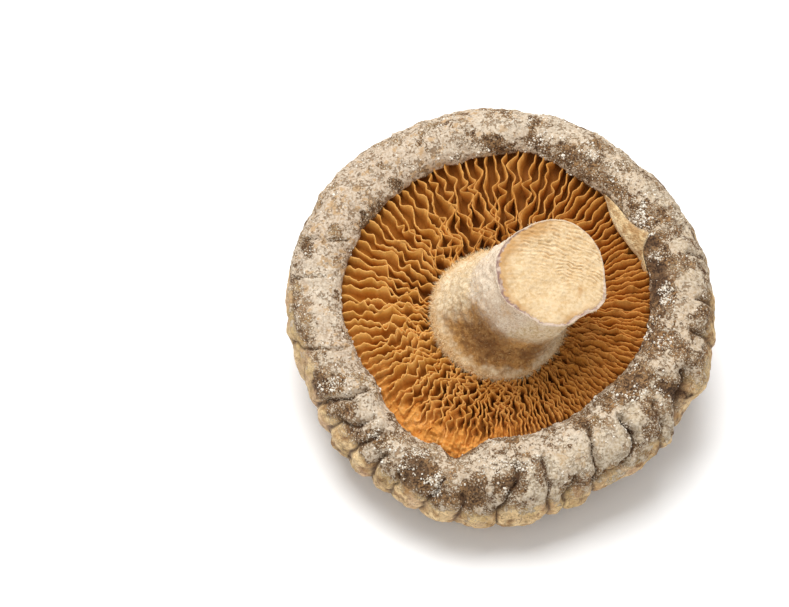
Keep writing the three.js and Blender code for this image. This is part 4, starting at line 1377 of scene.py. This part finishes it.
ridge_depth = ridges * (0.12 + 0.88 * ridged)
cut_lift = 0.07 * ridge_depth + 0.09 * rough(cut_grid, 1.0, 26, 4) + 0.14 * rough(cut_grid, 3.5, 27, 2)
cut_lift -= 0.1 * bump(cut_insets, 0.95, 0.02)
cut_grid = cut_grid + cut_normal * cut_lift[..., None]
foot_x = STEM_ROOT[0] + FOOT_RADIUS * np.cos(stem_angles)
foot_y = STEM_ROOT[1] + FOOT_RADIUS * np.sin(stem_angles)
stem_grid = np.concatenate([placed(foot_x, foot_y, FOOT_HEIGHT)[None], side_points, cut_grid])
print("stem:", len(cut_insets), "rings over the cut, ridges every", RIDGE_WIDTH, "mm")

# %% Masks on the stem
# How wide the bruise inside the cut's edge is in millimetres, every 30 degrees from +x
BRUISE = [0.16, 0.1, 0.1, 0.12, 0.2, 0.35, 0.5, 0.5, 0.36, 0.34, 0.42, 0.34]
# The underside is brown: partly the felt's own colour, partly painted shade
shaded_brown_underside = 1 - smoothstep(degrees_from(side_angle, 246) + 12 * rough(side_points, 1.6, 34, 4), 34, 78)
shaded_brown_underside *= smoothstep(side_share + 0.08 * rough(side_points, 1.2, 35, 3), 0.08, 0.28)
# The darkest middle of the underside is painted shade
underside_shade_core = np.maximum(
    bump(degrees_from(side_angle, 238), 0, 22) * bump(side_share, 0.42, 0.16),
    0.7 * bump(degrees_from(side_angle, 282), 0, 18) * bump(side_share, 0.42, 0.12),
)
collar = 1 - smoothstep(side_share + 0.03 * rough(side_points, 1.0, 36, 2), 0.1, 0.21)
tufted = smoothstep(rough(side_points, 1.6, 37, 3), -0.1, 0.5)
flaky = smoothstep(rough(side_points, 0.9, 46, 3), -0.1, 0.25)
whitened = smoothstep(side_share, 0.44, 0.68) * near(side_angle, 190, 36, 80)
whitened = np.maximum(whitened, 0.75 * flaky * smoothstep(side_share, 0.86, 0.95))
fuzz = np.maximum(1.5 * collar, (1 - smoothstep(side_share, 0.55, 0.85)) * (0.1 + 0.9 * tufted))
fuzz = np.maximum(fuzz, 0.5 * smoothstep(side_share, 0.93, 0.97) * tufted)
fuzz *= 1 - 0.85 * shaded_brown_underside * (1 - collar)
# Tan bands along the cut's edge, and one small tan spot
inside = (1 - cut_insets) * STEM_RADII[-1]
ragged_inside = inside + 0.3 * rough(cut_grid, 1.0, 47, 3)
tan_on_cut = bump(cut_x, 2.9, 0.25) * bump(cut_y, -2.0, 0.5)
for strength, start, end, direction, full, gone in [
    (1.0, 0.3, 2.4, 140, 25, 75), (0.7, 0.3, 1.4, 295, 12, 40), (1.0, 0.4, 1.1, 200, 20, 50),
]:
    band = strength * (1 - smoothstep(ragged_inside, start, end)) * near(stem_angles, direction, full, gone)
    tan_on_cut = np.maximum(tan_on_cut, band)


def on_stem(side, cut):
    """One mask from its grids or values on the side and over the cut. At the foot it is 0."""
    rows = [(1, 0), (SIDE_RINGS, side), (len(cut_insets), cut)]
    return np.concatenate([np.broadcast_to(values, (count, STEM_COLUMNS)) for count, values in rows])


stem_masks = {
    "cut": (0, 1), "inside": (0, inside), "tanned": (0, tan_on_cut), "ridge": (0, ridge_depth),
    "bruise": (0, around(BRUISE, stem_angles)), "up": (side_share, 1), "whitened": (whitened, 0),
    "shaded_brown_underside": (shaded_brown_underside, 0), "underside_shade_core": (underside_shade_core, 0), "collar": (collar, 0), "fuzz": (fuzz, 0),
    "hair": (0.4 + 0.6 * collar, 0.3),
}
stem = mesh_from_rings("stem_flesh", stem_grid, {name: on_stem(*parts) for name, parts in stem_masks.items()})
print("stem:", len(stem.data.polygons), "faces, volume", round(volume_of(stem)), "mm3")

# %% [markdown]
# ## The stem's finish
#
# Two finishes meet on the stem: pale felt, which turns brown underneath, partly as painted shade that is
# darkest in its middle, and yellowish in the collar, and the flesh of the cut. They could be two materials on
# two sets of faces, but then the border between them would be as coarse as the faces. As coats in one
# material, a mask chooses between them. The bruise is one sharp line inside the cut's edge. Its width comes
# from a mask and its ragged edge from noise.

# %% Felt of the stem
stem_material, nodes, shader = new_material("felted_stem", 0.9, Specular_IOR_Level=0.2)
cut_here, inside_here, bruise_here, up_here, ridge_here = read_masks(
    nodes, "cut", "inside", "bruise", "up", "ridge"
)
shaded_brown_here, underside_shade_core_here, collar_here, tanned_here, whitened_here = read_masks(
    nodes, "shaded_brown_underside", "underside_shade_core", "collar", "tanned", "whitened"
)
place = object_place(nodes)
cloudy = speckle(place, 2.6, 4.0)
matted = speckle(place, 1.0, 4.0, 0.65)
felted = speckle(place, 0.45, 4.0, 0.7)
fluffy = speckle(place, 0.2, 3.0, 0.7)
whitish = whitened_here + (cloudy - 0.5) * 0.8 + (matted - 0.5) * 0.9 + (felted - 0.5) * 0.5
brown_spots = (matted * 0.6 + fluffy * 0.4).step(0.44, 0.37) * up_here.step(0.6, 0.95)
# Brown underneath: partly the felt's own brown, partly painted shade
brown_and_shade = shaded_brown_here * 1.3 + (cloudy - 0.5) * 0.8 + (matted - 0.5) * 0.9 + (felted - 0.5) * 0.6
brown_and_shade = brown_and_shade - up_here.step(0.46, 0.8) - 0.1
shaded_brown_felt = nodes.over(
    nodes.mix((cloudy * 0.5 + matted * 0.5).step(0.36, 0.62), (124, 80, 34), (188, 139, 78)),
    ((felted * 0.5 + fluffy * 0.5).step(0.52, 0.62) * 0.65, (216, 176, 116)),
    ((felted * 0.5 + fluffy * 0.5).step(0.47, 0.38) * 0.75, (94, 58, 24)),
    # The darkest middle: painted shade
    (underside_shade_core_here * (1.25 - matted * 0.9), (98, 56, 20)),
)
collar_felt = nodes.over(
    nodes.mix(felted.step(0.3, 0.7), (182, 134, 76), (222, 186, 132)),
    (up_here.step(0.08, 0.02), (206, 150, 84)),
)
felt = nodes.over(
    nodes.mix((felted * 0.6 + fluffy * 0.4).step(0.34, 0.62), (192, 160, 114), (235, 218, 187)),
    ((cloudy * 0.6 + matted * 0.4).step(0.54, 0.66) * 0.6, (206, 172, 122)),
    (whitish.step(0.3, 0.75) * 0.75, nodes.mix(fluffy.step(0.3, 0.7), (204, 178, 152), (242, 228, 208))),
    (brown_spots * 0.8, (142, 106, 76)),
    (brown_and_shade.step(-0.15, 1.2) * 0.97, shaded_brown_felt),
    (collar_here * 0.85, collar_felt),
)
print("felt:", len(nodes.tree.nodes), "nodes")

# %% Flesh of the cut
ragged = (matted - 0.5) * 0.9 + (fluffy - 0.5) * 0.5
bruised = (bruise_here + ragged * bruise_here * 2.2 + ragged * 0.15 - inside_here).step(-0.05, 0.08)
flesh = nodes.over(
    nodes.mix(felted.step(0.35, 0.65), (208, 176, 130), (230, 205, 166)),
    # The grooves between the ridges are darker: painted shade
    ((ridge_here * -0.8 + (felted - 0.5) * 1.2).kept() * 0.85, (176, 134, 84)),
    ((tanned_here * 1.2 + (matted - 0.5) * 1.6).kept() * 0.75, (186, 138, 80)),
    (cloudy.step(0.5, 0.66) * 0.3, (236, 214, 178)),
    (bruised * 0.8, nodes.mix(matted.step(0.4, 0.6), (132, 104, 106), (204, 186, 172))),
    ((inside_here + ragged * 0.6).step(0.1, 0.02) * 0.4, (228, 212, 194)),
)
relief = felted * 0.7 + fluffy * 0.6 + matted * 0.3
finish_material(nodes, shader, nodes.mix(cut_here, felt, flesh), relief, 0.12, 0.7)
stem.data.materials.append(stem_material)
print("stem material:", len(nodes.tree.nodes), "nodes")

# %% [markdown]
# ## Felt that stands up
#
# The stem is covered with matted hairs, and round its foot they stand out over the ends of the gills as a
# pale collar. Blender has a hair system, but its curves are not a mesh. So each hair is a three-sided spike.
# A tree scatters them by the fuzz mask, tips them away from the surface at random, and keeps the mask of the
# brown underside, which is partly painted shade, so that the hairs there are brown too.

# %% Grow the hairs
hair_material, nodes, shader = new_material("stem_hairs", 0.9, Specular_IOR_Level=0.2)
tone, shaded_brown_here, collar_here = read_masks(nodes, "tone", "shaded_brown_underside", "collar")
pale_hair = nodes.over(
    nodes.mix(tone, (228, 200, 154), (248, 234, 206)),
    (collar_here, nodes.mix(tone, (232, 198, 142), (250, 232, 192))),
)
dark_hair = nodes.mix(tone, (172, 124, 70), (228, 190, 138))
# Hairs on the underside turn brown: partly their own colour, partly painted shade
brown_and_shade = (shaded_brown_here * 1.2 - collar_here * 0.9).kept()
finish_material(nodes, shader, nodes.mix(brown_and_shade, pale_hair, dark_hair))

nodes, given, leave = new_tree("hairs", {
    "Density": "Float", "Thickness": "Float", "Length": "Float", "Spread": "Float", "Seed": "Int",
})
points = scattered(given["Geometry"], "fuzz", given["Density"], given["Seed"])
normal = points.also("Normal")
points = stored(points, "tone", random_value(nodes, 0.0, 1.0, 7))
tipped = random_value(nodes, (-1.0, -1.0, -1.0), (1.0, 1.0, 1.0), 8)
aim = nodes.vector("ADD", normal, nodes.vector("SCALE", tipped, scale=given["Spread"]))
turned = nodes.add("FunctionNodeAlignRotationToVector", {"axis": "Z"}, {"Vector": aim})
hair_length = named(nodes, "hair") * random_value(nodes, 0.5, 1.2, 9)
spike = nodes.add("GeometryNodeMeshCone", {"fill_type": "NGON"}, {
    "Vertices": 3, "Side Segments": 1, "Fill Segments": 1,
    "Radius Top": 0.0, "Radius Bottom": given["Thickness"], "Depth": given["Length"],
})
spikes = on_points(points, spike, turned, nodes.combine(1.0, 1.0, hair_length))
hairs = grow("stem_hairs", stem, nodes, leave, spikes, hair_material, {
    "Density": 30e6, "Thickness": 0.028 * MM, "Length": 0.7 * MM, "Spread": 1.1, "Seed": 12,
})
print("hairs:", len(hairs.data.polygons) // 4)

# %% [markdown]
# ## The floor and the light
#
# The mushroom lies on a white sweep in a light tent: light comes from everywhere, a little more from the
# upper left and from behind. A white world does most of it. One large soft lamp behind gives the direction,
# a weaker one in front fills the shadows, and the pale floor throws light back up under the rim.

# %% Floor, world and lamps
floor_mesh = bpy.data.meshes.new("floor")
floor_mesh.from_pydata([(-1, -1, 0), (1, -1, 0), (1, 1, 0), (-1, 1, 0)], [], [(0, 1, 2, 3)])
floor = into_scene("floor", floor_mesh)
floor_material, _, shader = new_material("pale_floor", 0.7)
shader.inputs["Base Color"].default_value = (0.98, 0.98, 0.98, 1)
floor_mesh.materials.append(floor_material)

world = bpy.data.worlds.new("light_tent")
bpy.context.scene.world = world
world.use_nodes = True
world.node_tree.nodes["Background"].inputs["Color"].default_value = (1.0, 1.0, 1.0, 1)
world.node_tree.nodes["Background"].inputs["Strength"].default_value = 0.5
AIM = Vector((0, 0, 0.01))


def add_lamp(name, place, size, power):
    lamp = into_scene(name, bpy.data.lights.new(name, "AREA"))
    lamp.data.size = size
    lamp.data.energy = power
    lamp.location = place
    lamp.rotation_euler = (AIM - lamp.location).to_track_quat("-Z", "Y").to_euler()


add_lamp("key_from_behind", (-0.06, 0.16, 0.52), 0.36, 3.3)
add_lamp("fill_from_the_front", (-0.05, -0.5, 0.45), 0.6, 0.8)
bpy.context.scene.view_settings.view_transform = "Standard"
print("two lamps and a white world")

# %% [markdown]
# ## The pieces on the body
#
# Every piece rides on the one body, and the CAD solid that it stands for is hidden.

# %% Finish
for piece, node, slot in [
    (cap, "cap", "cap_skin"), (crumbs, "cap", "cap_skin"), (veil, "cap", "cap_skin"),
    (gills, "gills", "gills"), (stem, "stem", "stem"), (hairs, "stem", "stem"),
]:
    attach(piece, "root")
    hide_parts(node)
